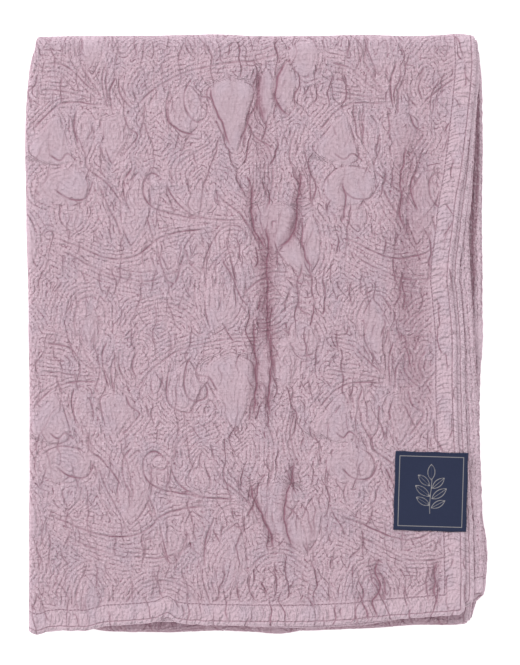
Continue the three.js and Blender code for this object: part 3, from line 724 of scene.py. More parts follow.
def quilting_at(x, y):
    """The quilting's lines and rows, and the stuffed motifs' rise and signed distance in millimetres."""
    warped_x = x + 3.2 * SLOW_ACROSS(x / 40, y / 50) + 0.7 * QUICK_ACROSS(x / 11, y / 15)
    warped_y = y + 2.8 * SLOW_ALONG(x / 44, y / 48) + 0.7 * QUICK_ALONG(x / 12, y / 12)
    across = warped_x - REPEAT["left"]
    down = REPEAT["far"] - warped_y
    stem, stem_share = stems_at(across, down)
    rise = np.zeros(x.shape)
    outline = np.full(x.shape, ECHO_REACH)
    full = np.zeros(x.shape)
    ragged = 2.4 * OUTLINE_BREAKS(x / 7 + 60, y / 10) + 2.0 * OUTLINE_BREAKS(x / 17 + 90, y / 24)
    fresh = smooth(0.62 + 0.9 * TUCK_REACH(x / 75 + 30, y / 90))
    for puff in PUFFS:
        right, lower = in_repeat(across, down, puff["at"])
        inside = inside_puff(puff, right, lower)
        dome = np.clip(inside / 7.5, 0, 1)
        share = puff["smooth"] * mix(fresh, 1, puff["smooth"] ** 4)
        rise = np.maximum(rise, puff["rise"] * np.sqrt(1 - (1 - dome) ** 2))
        outline = np.where(np.abs(inside) < np.abs(outline), inside, outline)
        full = np.maximum(full, share * smooth((inside + ragged) / 4.5 + 0.15))
    full = full * (1 - 0.25 * smooth((30 - y) / 60))
    breaks = smooth(0.35 + 1.6 * OUTLINE_BREAKS(x / 15, y / 21))
    return {
        "echo": np.minimum(np.abs(stem), np.abs(outline)),
        "stem": np.clip(stem, -NO_LINE, NO_LINE),
        "stem_share": stem_share * (0.6 + 0.4 * breaks) * beside(stem),
        "outline": np.clip(outline, -NO_LINE, NO_LINE),
        "outline_share": breaks * beside(outline),
        "full": full,
        "rise": rise,
    }


def tuck_lines(noise, x, y, size, seed):
    """Distance to the lines where a field rises through nought to the right, and their strength."""
    step = 0.4
    here = noise(x / size[0], y / size[1])
    slope_x = (noise((x + step) / size[0], y / size[1]) - here) / step
    slope_y = (noise(x / size[0], (y + step) / size[1]) - here) / step
    steep = np.hypot(slope_x, slope_y)
    rising = smooth(slope_x * size[0] / 0.75)
    reach = smooth(0.62 + 1.4 * TUCK_REACH(x / 19 + seed, y / 33))
    return np.clip(here / np.maximum(steep, 0.3 / size[0]), -NO_LINE, NO_LINE), rising * reach


def tuck_relief(distance, strength):
    """A small fold of cloth: it rises up to its line from the left and drops at it."""
    before = np.exp(distance / 2.6) * (distance < 0)
    after = -0.75 * np.exp(-distance / 2.2) * (distance >= 0)
    return strength * np.where(distance < 0, before, after)


def crease_fields(x, y):
    """Depth and painted shade of the longest creases, and the signed distance and strength of their lines.
    """
    deepest, highest = np.zeros(x.shape), np.zeros(x.shape)
    shade, share = np.zeros(x.shape), np.zeros(x.shape)
    nearest = np.full(x.shape, NO_LINE)
    drift_x = x + 1.9 * SLOW_ACROSS(x / 15 + 70, y / 11)
    drift_y = y + 1.5 * SLOW_ALONG(x / 13 + 70, y / 15)
    for crease in CREASES:
        reach = 1.5 * crease["half_width"]
        near, distance, part = from_curve(curve_through(crease["places"]), drift_x, drift_y, reach)
        fade = smooth(np.minimum(part, 1 - part) * 5)
        depth = crease["depth"] * fade * line_mask(distance, crease["half_width"])
        deepest[near] = np.maximum(deepest[near], depth)
        highest[near] = np.maximum(highest[near], -depth)
        shade[near] = np.maximum(shade[near], crease["shade"] * fade * line_mask(distance, reach))
        if crease["line"]:
            closer = np.abs(distance) < np.abs(nearest[near])
            nearest[near] = np.where(closer, distance, nearest[near])
            share[near] = np.where(closer, crease["line"] * fade, share[near])
    share = share * beside(nearest)
    return {"valley": deepest - highest, "shade": shade, "crease": nearest, "crease_share": share}


def clear_of_label(x, y):
    """0 under the label, rising to 1 past its margin."""
    turn = math.radians(LABEL["turn"])
    across = (x - LABEL["x"]) * math.cos(turn) + (y - LABEL["y"]) * math.sin(turn)
    along = (y - LABEL["y"]) * math.cos(turn) - (x - LABEL["x"]) * math.sin(turn)
    past = np.maximum(np.abs(across) - LABEL["across"] / 2, np.abs(along) - LABEL["along"] / 2)
    return smooth(past / LABEL_MARGIN)


def cloth_fields(x, y, side_hem, near_hem):
    """Everything that the cloth's face shows at a place, as named fields."""
    fields = quilting_at(x, y)
    crumpled = read_table(CRUMPLED, "x", "share", x)
    drift_x = x + 3.0 * SLOW_ALONG(x / 21 + 40, y / 17) + 0.8 * QUICK_ALONG(x / 7, y / 7)
    for tuck in TUCKS:
        leaning = drift_x + tuck["lean"] * y
        distance, share = tuck_lines(tuck["noise"], leaning, y, tuck["size"], tuck["breaks"])
        fields[tuck["line"]] = distance
        fields[tuck["share"]] = share * crumpled * tuck["strength"] * (1 - 0.8 * fields["full"] ** 2)
    fields.update(crease_fields(x, y))
    hem = np.minimum(side_hem, near_hem)
    on_side = side_hem < near_hem
    in_hem = hem < HEM_WIDTH - 0.5
    fields["corner"] = smooth((HEM_WIDTH + 6 - np.maximum(side_hem, near_hem)) / 7)
    fields["run"] = np.where(on_side, y, x)
    pucker, pucker_share = tuck_lines(PUCKER, fields["run"], hem + 40 * on_side, (6.5, 40), 3)
    fields["pucker"] = np.where(in_hem & (hem > 1), pucker, NO_LINE)
    fields["pucker_share"] = pucker_share * (1 - fields["corner"])
    for name in ("outline", "fine_tuck", "stem"):
        fields[name] = np.where(in_hem, NO_LINE, fields[name])
    inside = smooth((hem - HEM_WIDTH) / 4)
    fields["rise"] = fields["rise"] * inside
    fields["full"] = fields["full"] * inside
    fields["plain"] = np.maximum(0.92 * fields["full"], 1 - inside)
    fields["hem"] = hem
    fields["swell"] = 0.5 * SWELL(x / 30, y / 60)
    fields["hue"] = smooth(0.3 + 0.9 * TONE(x / 22 + 90, y / 34) + 0.5 * TONE(x / 9 + 150, y / 12))
    return fields


def relief_of(fields):
    """Height of the cloth's face over its smooth one, in millimetres."""
    outlines = line_mask(fields["outline"], 2.4) * (0.2 + 0.8 * fields["outline_share"])
    outlines = np.maximum(outlines, 1.3 * line_mask(fields["stem"], 3.2) * fields["stem_share"])
    tuck, long_tuck, fine_tuck = (
        kind["height"] * tuck_relief(fields[kind["line"]], fields[kind["share"]]) for kind in TUCKS
    )
    tucks = tuck + long_tuck + fine_tuck * (1 - 0.8 * fields["full"])
    inside = fields["rise"] - 0.5 * outlines + tucks * (1 - 0.4 * fields["full"]) + fields["swell"]
    hem = fields["hem"]
    cord = np.clip(1 - ((hem - CORD_WIDTH / 2) / (CORD_WIDTH / 2)) ** 2, 0, 1)
    pucker = 0.7 * tuck_relief(fields["pucker"], fields["pucker_share"]) * smooth((hem - 3) / 3)
    band = 0.5 + pucker + 0.9 * np.sqrt(cord) + 0.8 * fields["corner"] * smooth((hem - CORD_WIDTH) / 6)
    band = band - 0.7 * line_mask(hem - HEM_WIDTH, 2.2) - 0.6 * line_mask(hem - CORD_WIDTH, 1.6)
    share = smooth((hem - HEM_WIDTH + 1.5) / 3)
    return mix(band, inside, share) - fields["valley"]


# The sheet's two faces, and the rounded middle of its cut edges
OUTER, INNER, RIM = 0, 1, 2


def shown_share(across, share_across, along, share_along, face):
    """How much of the relief a place takes: all on the top face, less over folds, none between layers."""
    half_turn_across = (1 + np.cos(math.pi * share_across)) / 2
    half_turn_along = (1 + np.cos(math.pi * share_along)) / 2
    bulge_across = 0.6 * np.sin(math.pi * share_across)
    bulge_along = 0.7 * np.sin(math.pi * share_along)
    on_top = along == "top_length"
    over_far = along == "outer_far_fold"
    share = np.select(
        [
            (across == "top_run") & on_top,
            (across == "outer_side_fold") & on_top,
            (across == "top_run") & over_far,
            (across == "outer_side_fold") & over_far,
            (across == "top_run") & (along == "near_fold"),
            (across == "outer_side_fold") | (across == "hem_side_fold"),
        ],
        [
            1.0, half_turn_across, half_turn_along, half_turn_across * half_turn_along,
            bulge_along, bulge_across,
        ],
        0.0,
    )
    return np.where(face == OUTER, share, 0.0)


def add_strips(fields, across, along, x, y, edges):
    """Places on the layers that show past the edge over them: painted shadow under each overhanging edge and
    painted shade on the lower layers, strips made paler for rubbed wear and painted light, and painted sheen
    on the rolled far and left edges.
    """
    second, lower = across == "second_run", ~np.isin(along, ("top_length", "outer_far_fold"))
    strip = (x > STRIPS_START) & ~np.isin(across, ("top_run", "outer_side_fold"))
    own_edge = np.where(second, edges["under"], edges["fold"])
    edge_over = np.where(second, edges["hem"], edges["under"])
    # How far past the edge over them a place is, for the painted shadow under that edge, which reaches
    # further on the lower layers as a wedge
    quarter_over = read_table(RIGHT_EDGES, "y", "fold", y)
    wedge = 6 * smooth((y - 10) / 60)
    fields["past_edge"] = np.where(lower, (x - quarter_over - wedge) / 5, (x - edge_over) / 3)
    fields["to_edge"] = own_edge - x
    fields["strip"] = strip.astype(float)
    fields["echo"] = np.where(strip, own_edge - x, fields["echo"])
    # Painted shade on the lower layers, as far as SHADE_END across; the strips take none here
    fields["shade"] = np.where(lower, 0.5 * (x < SHADE_END), np.where(strip, 0, fields["shade"]))
    # The rolled far and left edges get painted sheen: paler, and cooler in tone along the far edge
    far_roll = smooth((y - FAR_ROLL["start"]) / FAR_ROLL["width"])
    left_roll = smooth((LEFT_ROLL["start"] - x) / LEFT_ROLL["width"])
    fields["wear"] = np.where(strip | lower, 0, np.maximum(0.35 * far_roll, 0.3 * left_roll))
    fields["hue"] = np.maximum(fields["hue"], 1.2 * far_roll)
    for name in ("tuck_share", "long_share", "fine_share", "outline_share", "stem_share", "crease_share"):
        fields[name] = fields[name] * ~strip


def cloth_points(across, along, face, relief_size):
    """Places of points on a face of the folded cloth, and what the cloth shows there."""
    edges = edges_at(*along)
    cover = cover_share(across[0], across[1])
    base = np.select([face == OUTER, face == INNER], [CLOTH_THICKNESS / 2, -CLOTH_THICKNESS / 2], 0.0)

    def place(lift):
        x, height, cloth_x, side_hem = place_across(*across, edges, lift)
        y, z, cloth_y, near_hem = place_along(x, height, *along, cover)
        return x, y, z, cloth_x, cloth_y, side_hem, near_hem

    x, y, z, cloth_x, cloth_y, side_hem, near_hem = place(base)
    fields = cloth_fields(cloth_x, cloth_y, side_hem, near_hem)
    share = shown_share(across[0], across[1], along[0], along[1], face)
    share = share * np.where(along[0] == "top_length", clear_of_label(x, y), 1)
    add_strips(fields, across[0], along[0], x, y, edges)
    x, y, z, *_ = place(base + relief_size * share * relief_of(fields))
    return np.stack([x, y, settled(x, y, z - LOWEST_LAYER)], -1), cloth_x, cloth_y, fields


class FoldedSheet:
    """The quilt's closed mesh: coarse cells where it is hidden and fine ones where it shows."""

    def __init__(self, relief_size):
        self.relief_size = relief_size
        self.across = stations_of(ACROSS_CELLS, DIVIDE_ACROSS)
        self.along = stations_of(ALONG_CELLS, DIVIDE_ALONG)
        self.count_across = sum(ACROSS_CELLS.values())
        self.count_along = sum(ALONG_CELLS.values())
        self.stride = self.count_across * DIVIDE_ACROSS + 1
        self.cell_across = np.repeat(list(ACROSS_CELLS), list(ACROSS_CELLS.values()))
        self.cell_along = np.repeat(list(ALONG_CELLS), list(ALONG_CELLS.values()))
        self.quads = []
        self.triangles = []

    def divisions(self, i, j, face):
        """How many times a cell is divided across and along."""
        if not (0 <= i < self.count_across and 0 <= j < self.count_along):
            return 1, 1
        across, along = self.cell_across[i], self.cell_along[j]
        if face == OUTER:
            if across == "top_run":
                if along == "top_length":
                    return DIVIDE_ACROSS, DIVIDE_ALONG
                if along in ("outer_far_fold", "near_fold"):
                    return DIVIDE_ACROSS, 1
            if across in ("outer_side_fold", "hem_side_fold") and along.endswith("length"):
                return 1, DIVIDE_ALONG
            return 1, 1
        if across == "second_run" and along == "top_length" and i == self.count_across - 1:
            return DIVIDE_ACROSS, DIVIDE_ALONG
        return 1, 1

    def edge_across(self, i, line, face):
        """Divisions of a cell's edge that runs across, at a line between two rows of cells."""
        on_rim = line in (0, self.count_along)
        faces = (OUTER, INNER) if on_rim else (face,)
        return max(self.divisions(i, j, side)[0] for side in faces for j in (line - 1, line))

    def edge_along(self, line, j, face):
        """Divisions of a cell's edge that runs along, at a line between two columns of cells."""
        on_rim = line in (0, self.count_across)
        faces = (OUTER, INNER) if on_rim else (face,)
        return max(self.divisions(i, j, side)[1] for side in faces for i in (line - 1, line))

    def key(self, a, b, face):
        return (np.asarray(b) * self.stride + a) * 3 + face

    def add_cell(self, i, j, face):
        """Adds a cell as a grid, or as a fan round its middle where its sides are divided unevenly."""
        left, near = i * DIVIDE_ACROSS, j * DIVIDE_ALONG
        right, far = left + DIVIDE_ACROSS, near + DIVIDE_ALONG
        count_across, count_along = self.divisions(i, j, face)
        sides = (
            self.edge_along(i, j, face), self.edge_across(i, j + 1, face),
            self.edge_along(i + 1, j, face), self.edge_across(i, j, face),
        )
        if sides == (count_along, count_across, count_along, count_across):
            a = np.linspace(left, right, count_across + 1).astype(int)
            b = np.linspace(near, far, count_along + 1).astype(int)
            grid = self.key(a[:, None], b[None, :], face)
            corners = [grid[:-1, :-1], grid[:-1, 1:], grid[1:, 1:], grid[1:, :-1]]
            if face == INNER:
                corners.reverse()
            self.quads.append(np.stack(corners, -1).reshape(-1, 4))
            return
        corners = []
        turns = [
            ((left, near), (left, far)), ((left, far), (right, far)),
            ((right, far), (right, near)), ((right, near), (left, near)),
        ]
        for (start, end), count in zip(turns, sides):
            for step in range(count):
                a = start[0] + (end[0] - start[0]) * step // count
                b = start[1] + (end[1] - start[1]) * step // count
                corners.append(int(self.key(a, b, face)))
        if face == INNER:
            corners.reverse()
        middle = int(self.key((left + right) // 2, (near + far) // 2, face))
        following = corners[1:] + corners[:1]
        self.triangles.append(np.array([[p, q, middle] for p, q in zip(corners, following)]))

    def add_rim(self, start, end, count):
        """Closes a cut edge from the outer face to the inner one, by way of its rounded middle."""
        a = np.linspace(start[0], end[0], count + 1).astype(int)
        b = np.linspace(start[1], end[1], count + 1).astype(int)
        for upper, lower in ((OUTER, RIM), (RIM, INNER)):
            top, bottom = self.key(a, b, upper), self.key(a, b, lower)
            self.quads.append(np.stack([top[1:], top[:-1], bottom[:-1], bottom[1:]], -1))

    def add_faces(self):
        for face in (OUTER, INNER):
            for i in range(self.count_across):
                for j in range(self.count_along):
                    self.add_cell(i, j, face)
        last_a = self.count_across * DIVIDE_ACROSS
        last_b = self.count_along * DIVIDE_ALONG
        for i in range(self.count_across):
            left, right = i * DIVIDE_ACROSS, (i + 1) * DIVIDE_ACROSS
            self.add_rim((right, 0), (left, 0), self.edge_across(i, 0, OUTER))
            self.add_rim((left, last_b), (right, last_b), self.edge_across(i, self.count_along, OUTER))
        for j in range(self.count_along):
            near, far = j * DIVIDE_ALONG, (j + 1) * DIVIDE_ALONG
            self.add_rim((0, near), (0, far), self.edge_along(0, j, OUTER))
            self.add_rim((last_a, far), (last_a, near), self.edge_along(self.count_across, j, OUTER))

    def points(self, keys):
        """The places of the named points, and what the cloth shows there."""
        face = keys % 3
        a, b = (keys // 3) % self.stride, (keys // 3) // self.stride
        across = tuple(column[a] for column in self.across)
        along = tuple(column[b] for column in self.along)
        places, cloth_x, cloth_y, fields = cloth_points(across, along, face, self.relief_size)
        on_rim = np.where(face == RIM, CORD_BULGE, 0)
        places[:, 0] += on_rim * ((a == 0) | (a == self.stride - 1))
        places[:, 1] -= on_rim * ((b == 0) | (b == len(self.along[0]) - 1))
        return places, cloth_x, cloth_y, fields

    def build(self):
        self.add_faces()
        quads, triangles = np.concatenate(self.quads), np.concatenate(self.triangles)
        keys, places = np.unique(np.concatenate([quads.ravel(), triangles.ravel()]), return_inverse=True)
        quads = places[:quads.size].reshape(-1, 4)
        triangles = places[quads.size:].reshape(-1, 3)
        return *self.points(keys), quads.tolist() + triangles.tolist()


def new_object(name, points, faces, material):
    """A smooth mesh object from points in metres."""
    mesh = bpy.data.meshes.new(name)
    mesh.from_pydata(np.asarray(points, float).tolist(), [], faces)
    mesh.polygons.foreach_set("use_smooth", [True] * len(mesh.polygons))
    mesh.materials.append(material)
    mesh.update()
    made = bpy.data.objects.new(name, mesh)
    bpy.context.scene.collection.objects.link(made)
    return made


def store_vectors(mesh, name, *fields):
    """Keeps three fields at each point of a mesh, for its material."""
    attribute = mesh.attributes.new(name, "FLOAT_VECTOR", "POINT")
    attribute.data.foreach_set("vector", np.stack(fields, -1).astype(np.float32).ravel())


class NodeTree:
    """Adds and links the nodes of one tree."""

    def __init__(self, tree):
        self.tree = tree

    def put(self, socket, value):
        """Sets an input to a value or links it to an output."""
        if isinstance(value, bpy.types.NodeSocket):
            self.tree.links.new(value, socket)
        else:
            socket.default_value = value

    def add(self, kind, inputs, **settings):
        """Adds a node with its settings and its inputs, and gives its outputs."""
        node = self.tree.nodes.new("ShaderNode" + kind)
        for name, value in settings.items():
            setattr(node, name, value)
        for name, value in inputs.items():
            self.put(node.inputs[name], value)
        return node.outputs

    def math(self, operation, *values):
        return self.add("Math", dict(enumerate(values)), operation=operation)[0]

    def chain(self, operation, first, *others):
        """Combines values one after another."""
        for other in others:
            first = self.math(operation, first, other)
        return first

    def total(self, *values):
        return self.chain("ADD", *values)

    def product(self, *values):
        return self.chain("MULTIPLY", *values)

    def largest(self, *values):
        return self.chain("MAXIMUM", *values)

    def rest(self, value):
        """What is left of 1."""
        return self.math("SUBTRACT", 1.0, value)

    def centred(self, value, size):
        """Turns a share of 0 to 1 into a value about nought."""
        return self.math("MULTIPLY_ADD", value, size, -size / 2)

    def fade(self, value, low, high, at_low=0.0, at_high=1.0, form="SMOOTHSTEP"):
        """Goes from one level to another as a value passes through a range."""
        ends = {"From Min": low, "From Max": high, "To Min": at_low, "To Max": at_high}
        return self.add("MapRange", {"Value": value, **ends}, interpolation_type=form)["Result"]

    def noise(self, place, scale, detail, roughness=0.5):
        inputs = {"Vector": place, "Scale": scale, "Detail": detail, "Roughness": roughness}
        return self.add("TexNoise", inputs, noise_dimensions="2D")

    def vector(self, operation, first, second):
        return self.add("VectorMath", {0: first, 1: second}, operation=operation)["Vector"]

    def split(self, vector):
        return self.add("SeparateXYZ", {0: vector})

    def field(self, name):
        """Reads what a mesh keeps at its points."""
        return self.add("Attribute", {}, attribute_name=name)["Vector"]

    def blend(self, share, first, second):
        """Mixes two colours."""
        if not isinstance(first, bpy.types.NodeSocket):
            first = (*first, 1)
        return self.add("Mix", {0: share, 6: first, 7: (*second, 1)}, data_type="RGBA")[2]

    def group(self, tree, **values):
        """Adds a group, with its inputs by their names."""
        inputs = {name.replace("_", " "): value for name, value in values.items()}
        return self.add("Group", inputs, node_tree=tree)

    def bump(self, height, strength):
        """A surface's tilt where its height in millimetres changes."""
        return self.add("Bump", {"Height": height, "Strength": strength, "Distance": 1.0 * MM})["Normal"]


def new_group(name, inputs, outputs):
    """A new group of nodes: its tree, what goes into it, and where its results go."""
    tree = bpy.data.node_groups.new(name, "ShaderNodeTree")
    for sockets, direction in ((inputs, "INPUT"), (outputs, "OUTPUT")):
        for socket in sockets:
            kind = "NodeSocketVector" if socket in ("Place", "Fineness") else "NodeSocketFloat"
            tree.interface.new_socket(socket, in_out=direction, socket_type=kind)
    start, end = tree.nodes.new("NodeGroupInput"), tree.nodes.new("NodeGroupOutput")
    return NodeTree(tree), start.outputs, end.inputs


def new_material(name):
    """A new material, its nodes, and the inputs of its shader."""
    material = bpy.data.materials.new(name)
    material.use_nodes = True
    return material, NodeTree(material.node_tree), material.node_tree.nodes["Principled BSDF"].inputs


def line_group():
    """A soft line where a signed distance passes through nought."""
    nodes, start, end = new_group("Stitched line", ("Distance", "Width", "Strength"), ("Mask",))
    size = nodes.math("ABSOLUTE", start["Distance"])
    nodes.put(end["Mask"], nodes.fade(size, 0.0, start["Width"], start["Strength"], 0.0))
    return nodes.tree


def crinkle_group(line_tree):
    """Small folds of washed cloth: a wavy field, and a line of painted shade where it rises through its
    middle towards the right.
    """
    nodes, start, end = new_group("Crinkles", ("Place", "Fineness", "Width"), ("Lines", "Height"))
    step = 0.4
    found = []
    for move in ((0, 0, 0), (step, 0, 0), (0, step, 0)):
        place = nodes.vector("MULTIPLY", nodes.vector("ADD", start["Place"], move), start["Fineness"])
        found.append(nodes.noise(place, 1.0, 0.6)["Fac"])
    rises = (nodes.math("SUBTRACT", moved, found[0]) for moved in found[1:])
    slope_x, slope_y = (nodes.math("DIVIDE", rise, step) for rise in rises)
    steep = nodes.math("SQRT", nodes.math("MULTIPLY_ADD", slope_x, slope_x, nodes.product(slope_y, slope_y)))
    height = nodes.math("SUBTRACT", found[0], 0.5)
    distance = nodes.math("DIVIDE", height, nodes.largest(steep, 0.025))
    rising = nodes.fade(slope_x, 0.0, 0.1)
    line = nodes.group(line_tree, Distance=distance, Width=start["Width"], Strength=rising)
    nodes.put(end["Lines"], line["Mask"])
    nodes.put(end["Height"], height)
    return nodes.tree


# The crinkles of the ground: how fine they are across and along, in folds a millimetre, the width
# and the strength of their lines, and their height
CRINKLES = table(
    "name fineness width strength height",
    ("wrinkle", (0.16, 0.33, 0.0), 0.8, 0.4, 2.2),
    ("crinkle", (0.27, 0.115, 0.0), 0.95, 0.4, 2.2),
    ("crumple", (0.47, 0.31, 0.0), 0.7, 0.18, 1.6),
)


def quilted_ground_group(line_tree, crinkle_tree):
    """The stitched ground: dotted rows that echo the quilting's lines, on crinkled and tufted cloth, with
    lines of painted shade in the rows, between the tufts and in the crinkles.
    """
    nodes, start, end = new_group("Quilted ground", ("Echo", "Place"), ("Lines", "Height"))
    place = start["Place"]
    tufts = nodes.add(
        "TexVoronoi", {"Vector": place, "Scale": 1 / STITCH_PITCH, "Randomness": 0.85},
        voronoi_dimensions="2D", feature="DISTANCE_TO_EDGE",
    )["Distance"]
    between = nodes.fade(tufts, 0.0, 0.15, 1.0, 0.0)
    dash = nodes.fade(tufts, 0.04, 0.32, 1.0, 0.3)
    sway = nodes.split(nodes.noise(place, 0.13, 1.0)["Color"])
    row = nodes.total(nodes.math("DIVIDE", start["Echo"], ROW_PITCH), nodes.centred(sway["X"], 0.7))
    to_row = nodes.product(nodes.math("PINGPONG", row, 0.5), ROW_PITCH)
    strength = nodes.product(dash, nodes.math("MULTIPLY_ADD", sway["Z"], 1.5, 0.15))
    lines = nodes.group(line_tree, Distance=to_row, Width=0.9, Strength=strength)["Mask"]
    height = nodes.product(nodes.group(line_tree, Distance=to_row, Width=2.1, Strength=1.0)["Mask"], -0.7)
    lines = nodes.largest(lines, nodes.product(between, 0.27))
    height = nodes.math("MULTIPLY_ADD", between, -0.3, height)
    for kind in CRINKLES:
        folds = nodes.group(crinkle_tree, Place=place, Fineness=kind["fineness"], Width=kind["width"])
        lines = nodes.largest(lines, nodes.product(folds["Lines"], kind["strength"]))
        height = nodes.math("MULTIPLY_ADD", folds["Height"], kind["height"], height)
    nodes.put(end["Lines"], lines)
    nodes.put(end["Height"], nodes.math("MULTIPLY_ADD", lines, -0.5, height))
    return nodes.tree


def weave_group():
    """Crossing threads of a woven cloth, as a height and as a mask of abraded, paler threads."""
    inputs = ("Place", "Threads across", "Threads along")
    nodes, start, end = new_group("Woven threads", inputs, ("Height", "Wear"))
    slubs = []
    for stretch in ((0.75, 0.10, 1.0), (0.10, 0.75, 1.0)):
        stretched = nodes.vector("MULTIPLY", start["Place"], stretch)
        slubs.append(nodes.centred(nodes.noise(stretched, 1.0, 2.0, 0.65)["Fac"], 1.0))
    place = nodes.split(start["Place"])
    warp = nodes.math("SINE", nodes.product(place["X"], start["Threads across"]))
    weft = nodes.math("SINE", nodes.product(place["Y"], start["Threads along"]))
    nodes.put(end["Height"], nodes.total(nodes.product(warp, weft, 0.25), *slubs))
    nodes.put(end["Wear"], nodes.total(*slubs, 0.5))
    return nodes.tree


# What each of the quilt's point fields holds, and the lines of painted shade that its material draws from
# them: the width in millimetres, the strength, the field that weakens the line in places, and whether a
# stuffed part hides it
CLOTH_FIELDS = {
    "quilting_rows": ("echo", "full", "swell"),
    "stems": ("stem", "stem_share", "rise"),
    "strips": ("past_edge", "to_edge", "strip"),
    "outlines": ("outline", "outline_share", "hem"),
    "tucks": ("tuck", "tuck_share", "hue"),
    "long_tucks": ("long_tuck", "long_share", "shade"),
    "creases": ("crease", "crease_share", "wear"),
    "fine_tucks": ("fine_tuck", "fine_share", "plain"),
    "puckers": ("pucker", "pucker_share", "corner"),
}
LINES = table(
    "field width strength share hidden",
    ("stem", 1.6, 1.0, "stem_share", False),
    ("outline", 1.1, 0.75, "outline_share", False),
    ("tuck", 1.45, 1.0, "tuck_share", False),
    ("long_tuck", 1.6, 1.0, "long_share", False),
    ("crease", 1.8, 1.0, "crease_share", False),
    ("fine_tuck", 1.05, 0.85, "fine_share", True),
    ("pucker", 1.2, 0.4, "pucker_share", False),
)


def hem_look(nodes, line_tree, crinkle_tree, fields, along_hem):
    """The hem's seam, cord and puckers: their lines of painted shade, their height, the hem's mask and the
    cord's.
    """
    hem = fields["hem"]
    bend = nodes.product(hem, nodes.math("SUBTRACT", HEM_WIDTH, hem))
    bent = nodes.math("MULTIPLY_ADD", bend, -0.035, along_hem)
    place = nodes.add("CombineXYZ", {"X": bent, "Y": hem})["Vector"]
    in_hem, on_cord = (nodes.math("LESS_THAN", hem, width) for width in (HEM_WIDTH, CORD_WIDTH))
    in_band = nodes.product(in_hem, nodes.rest(fields["corner"]))
    puckers = nodes.group(crinkle_tree, Place=place, Fineness=(0.30, 0.06, 0.0), Width=1.4)
    stitch = nodes.math("PINGPONG", nodes.math("DIVIDE", along_hem, STITCH_PITCH), 0.5)
    dash = nodes.math("MULTIPLY_ADD", nodes.math("GREATER_THAN", stitch, 0.17), 0.55, 0.35)
    lines = nodes.product(puckers["Lines"], in_band, 0.13)
    for inset, width, strength in ((HEM_WIDTH, 0.95, dash), (CORD_WIDTH, 1.0, 0.75)):
        distance = nodes.math("SUBTRACT", hem, inset)
        line = nodes.group(line_tree, Distance=distance, Width=width, Strength=strength)["Mask"]
        lines = nodes.largest(lines, line)
    return lines, nodes.product(puckers["Height"], in_band, 3.4), in_hem, on_cord


def quilted_cotton(colours):
    """Washed cotton with its stitched rows, tucks and hem, from the fields kept at its points."""
    material, nodes, shader = new_material("quilted_cotton")
    line_tree, weave_tree = line_group(), weave_group()
    crinkle_tree = crinkle_group(line_tree)
    ground_tree = quilted_ground_group(line_tree, crinkle_tree)
    fields = {}
    for name, parts in CLOTH_FIELDS.items():
        fields.update(zip(parts, nodes.split(nodes.field(name))))
    ground = nodes.rest(fields["plain"])
    place = nodes.field("cloth_place")
    weave = nodes.group(weave_tree, Place=place, Threads_across=4.4, Threads_along=3.9)
    rows = nodes.group(ground_tree, Echo=fields["echo"], Place=place)
    row_lines = nodes.product(rows["Lines"], ground)
    row_height = nodes.product(rows["Height"], nodes.math("MULTIPLY_ADD", ground, 0.8, 0.2))

    along_hem = nodes.split(place)["Z"]
    deepest, hem_height, in_hem, on_cord = hem_look(nodes, line_tree, crinkle_tree, fields, along_hem)
    for line in LINES:
        strength = nodes.product(fields[line["share"]], line["strength"])
        distance, width = fields[line["field"]], line["width"]
        mask = nodes.group(line_tree, Distance=distance, Width=width, Strength=strength)["Mask"]
        deepest = nodes.largest(deepest, nodes.product(mask, ground) if line["hidden"] else mask)

    # Painted shadow on each strip just past the edge that overhangs it
    covered = nodes.fade(fields["past_edge"], 0.0, 1.0, 1.0, 0.0)
    on_rim = nodes.fade(fields["to_edge"], 0.0, 2.4, form="LINEAR")
    painted_gap_shadow = nodes.product(covered, on_rim, fields["strip"])
    # Painted light on the strips past the right edge, standing also for their rubbed wear: paler where the
    # painted shadow ends
    rubbed = nodes.product(nodes.math("SUBTRACT", fields["strip"], painted_gap_shadow), 1.35)

    base = nodes.blend(nodes.product(fields["full"], 0.8), colours.cloth, colours.puff)
    base = nodes.blend(nodes.product(fields["hue"], 0.6), base, colours.lavender)
    # Painted shade: crease troughs, lower layers and the painted shadow on the strips darken towards the
    # shaded colour
    base = nodes.blend(nodes.product(nodes.largest(fields["shade"], painted_gap_shadow), 0.8), base, colours.shaded)
    # Paler towards the palest colour: real worn slubs, and painted highlight on the rows' ridge tops, the
    # rolled edges, the cord, the strips and where the cloth rises
    worn_and_painted_highlight = nodes.total(
        nodes.product(row_height, 0.4), nodes.product(weave["Wear"], 0.42),
        nodes.largest(fields["wear"], rubbed, nodes.product(on_cord, 0.5)),
        nodes.product(fields["rise"], 0.02), nodes.product(fields["swell"], 0.1),
    )
    # Painted shade in the stitched lines, creases, tucks, puckers and rows
    painted_line_shade = nodes.largest(nodes.product(deepest, 0.85), nodes.product(row_lines, 0.7))
    base = nodes.blend(worn_and_painted_highlight, base, colours.worn_and_painted_highlight)
    nodes.put(shader["Base Color"], nodes.blend(painted_line_shade, base, colours.crease))

    crumple = nodes.group(crinkle_tree, Place=place, Fineness=(0.4, 0.33, 0.0), Width=0.7)
    height = nodes.total(
        nodes.product(weave["Height"], 0.3), nodes.product(deepest, -0.9), nodes.product(row_height, 0.85),
        hem_height, nodes.product(crumple["Height"], nodes.largest(in_hem, fields["strip"]), 2.4),
    )
    nodes.put(shader["Normal"], nodes.bump(height, 0.9))
    nodes.put(shader["Roughness"], 0.93)
    nodes.put(shader["Specular IOR Level"], 0.15)
    nodes.put(shader["Sheen Weight"], 0.2)
    nodes.put(shader["Sheen Tint"], (*colours.worn_and_painted_highlight, 1))
    nodes.put(shader["Sheen Roughness"], 0.6)
    return material


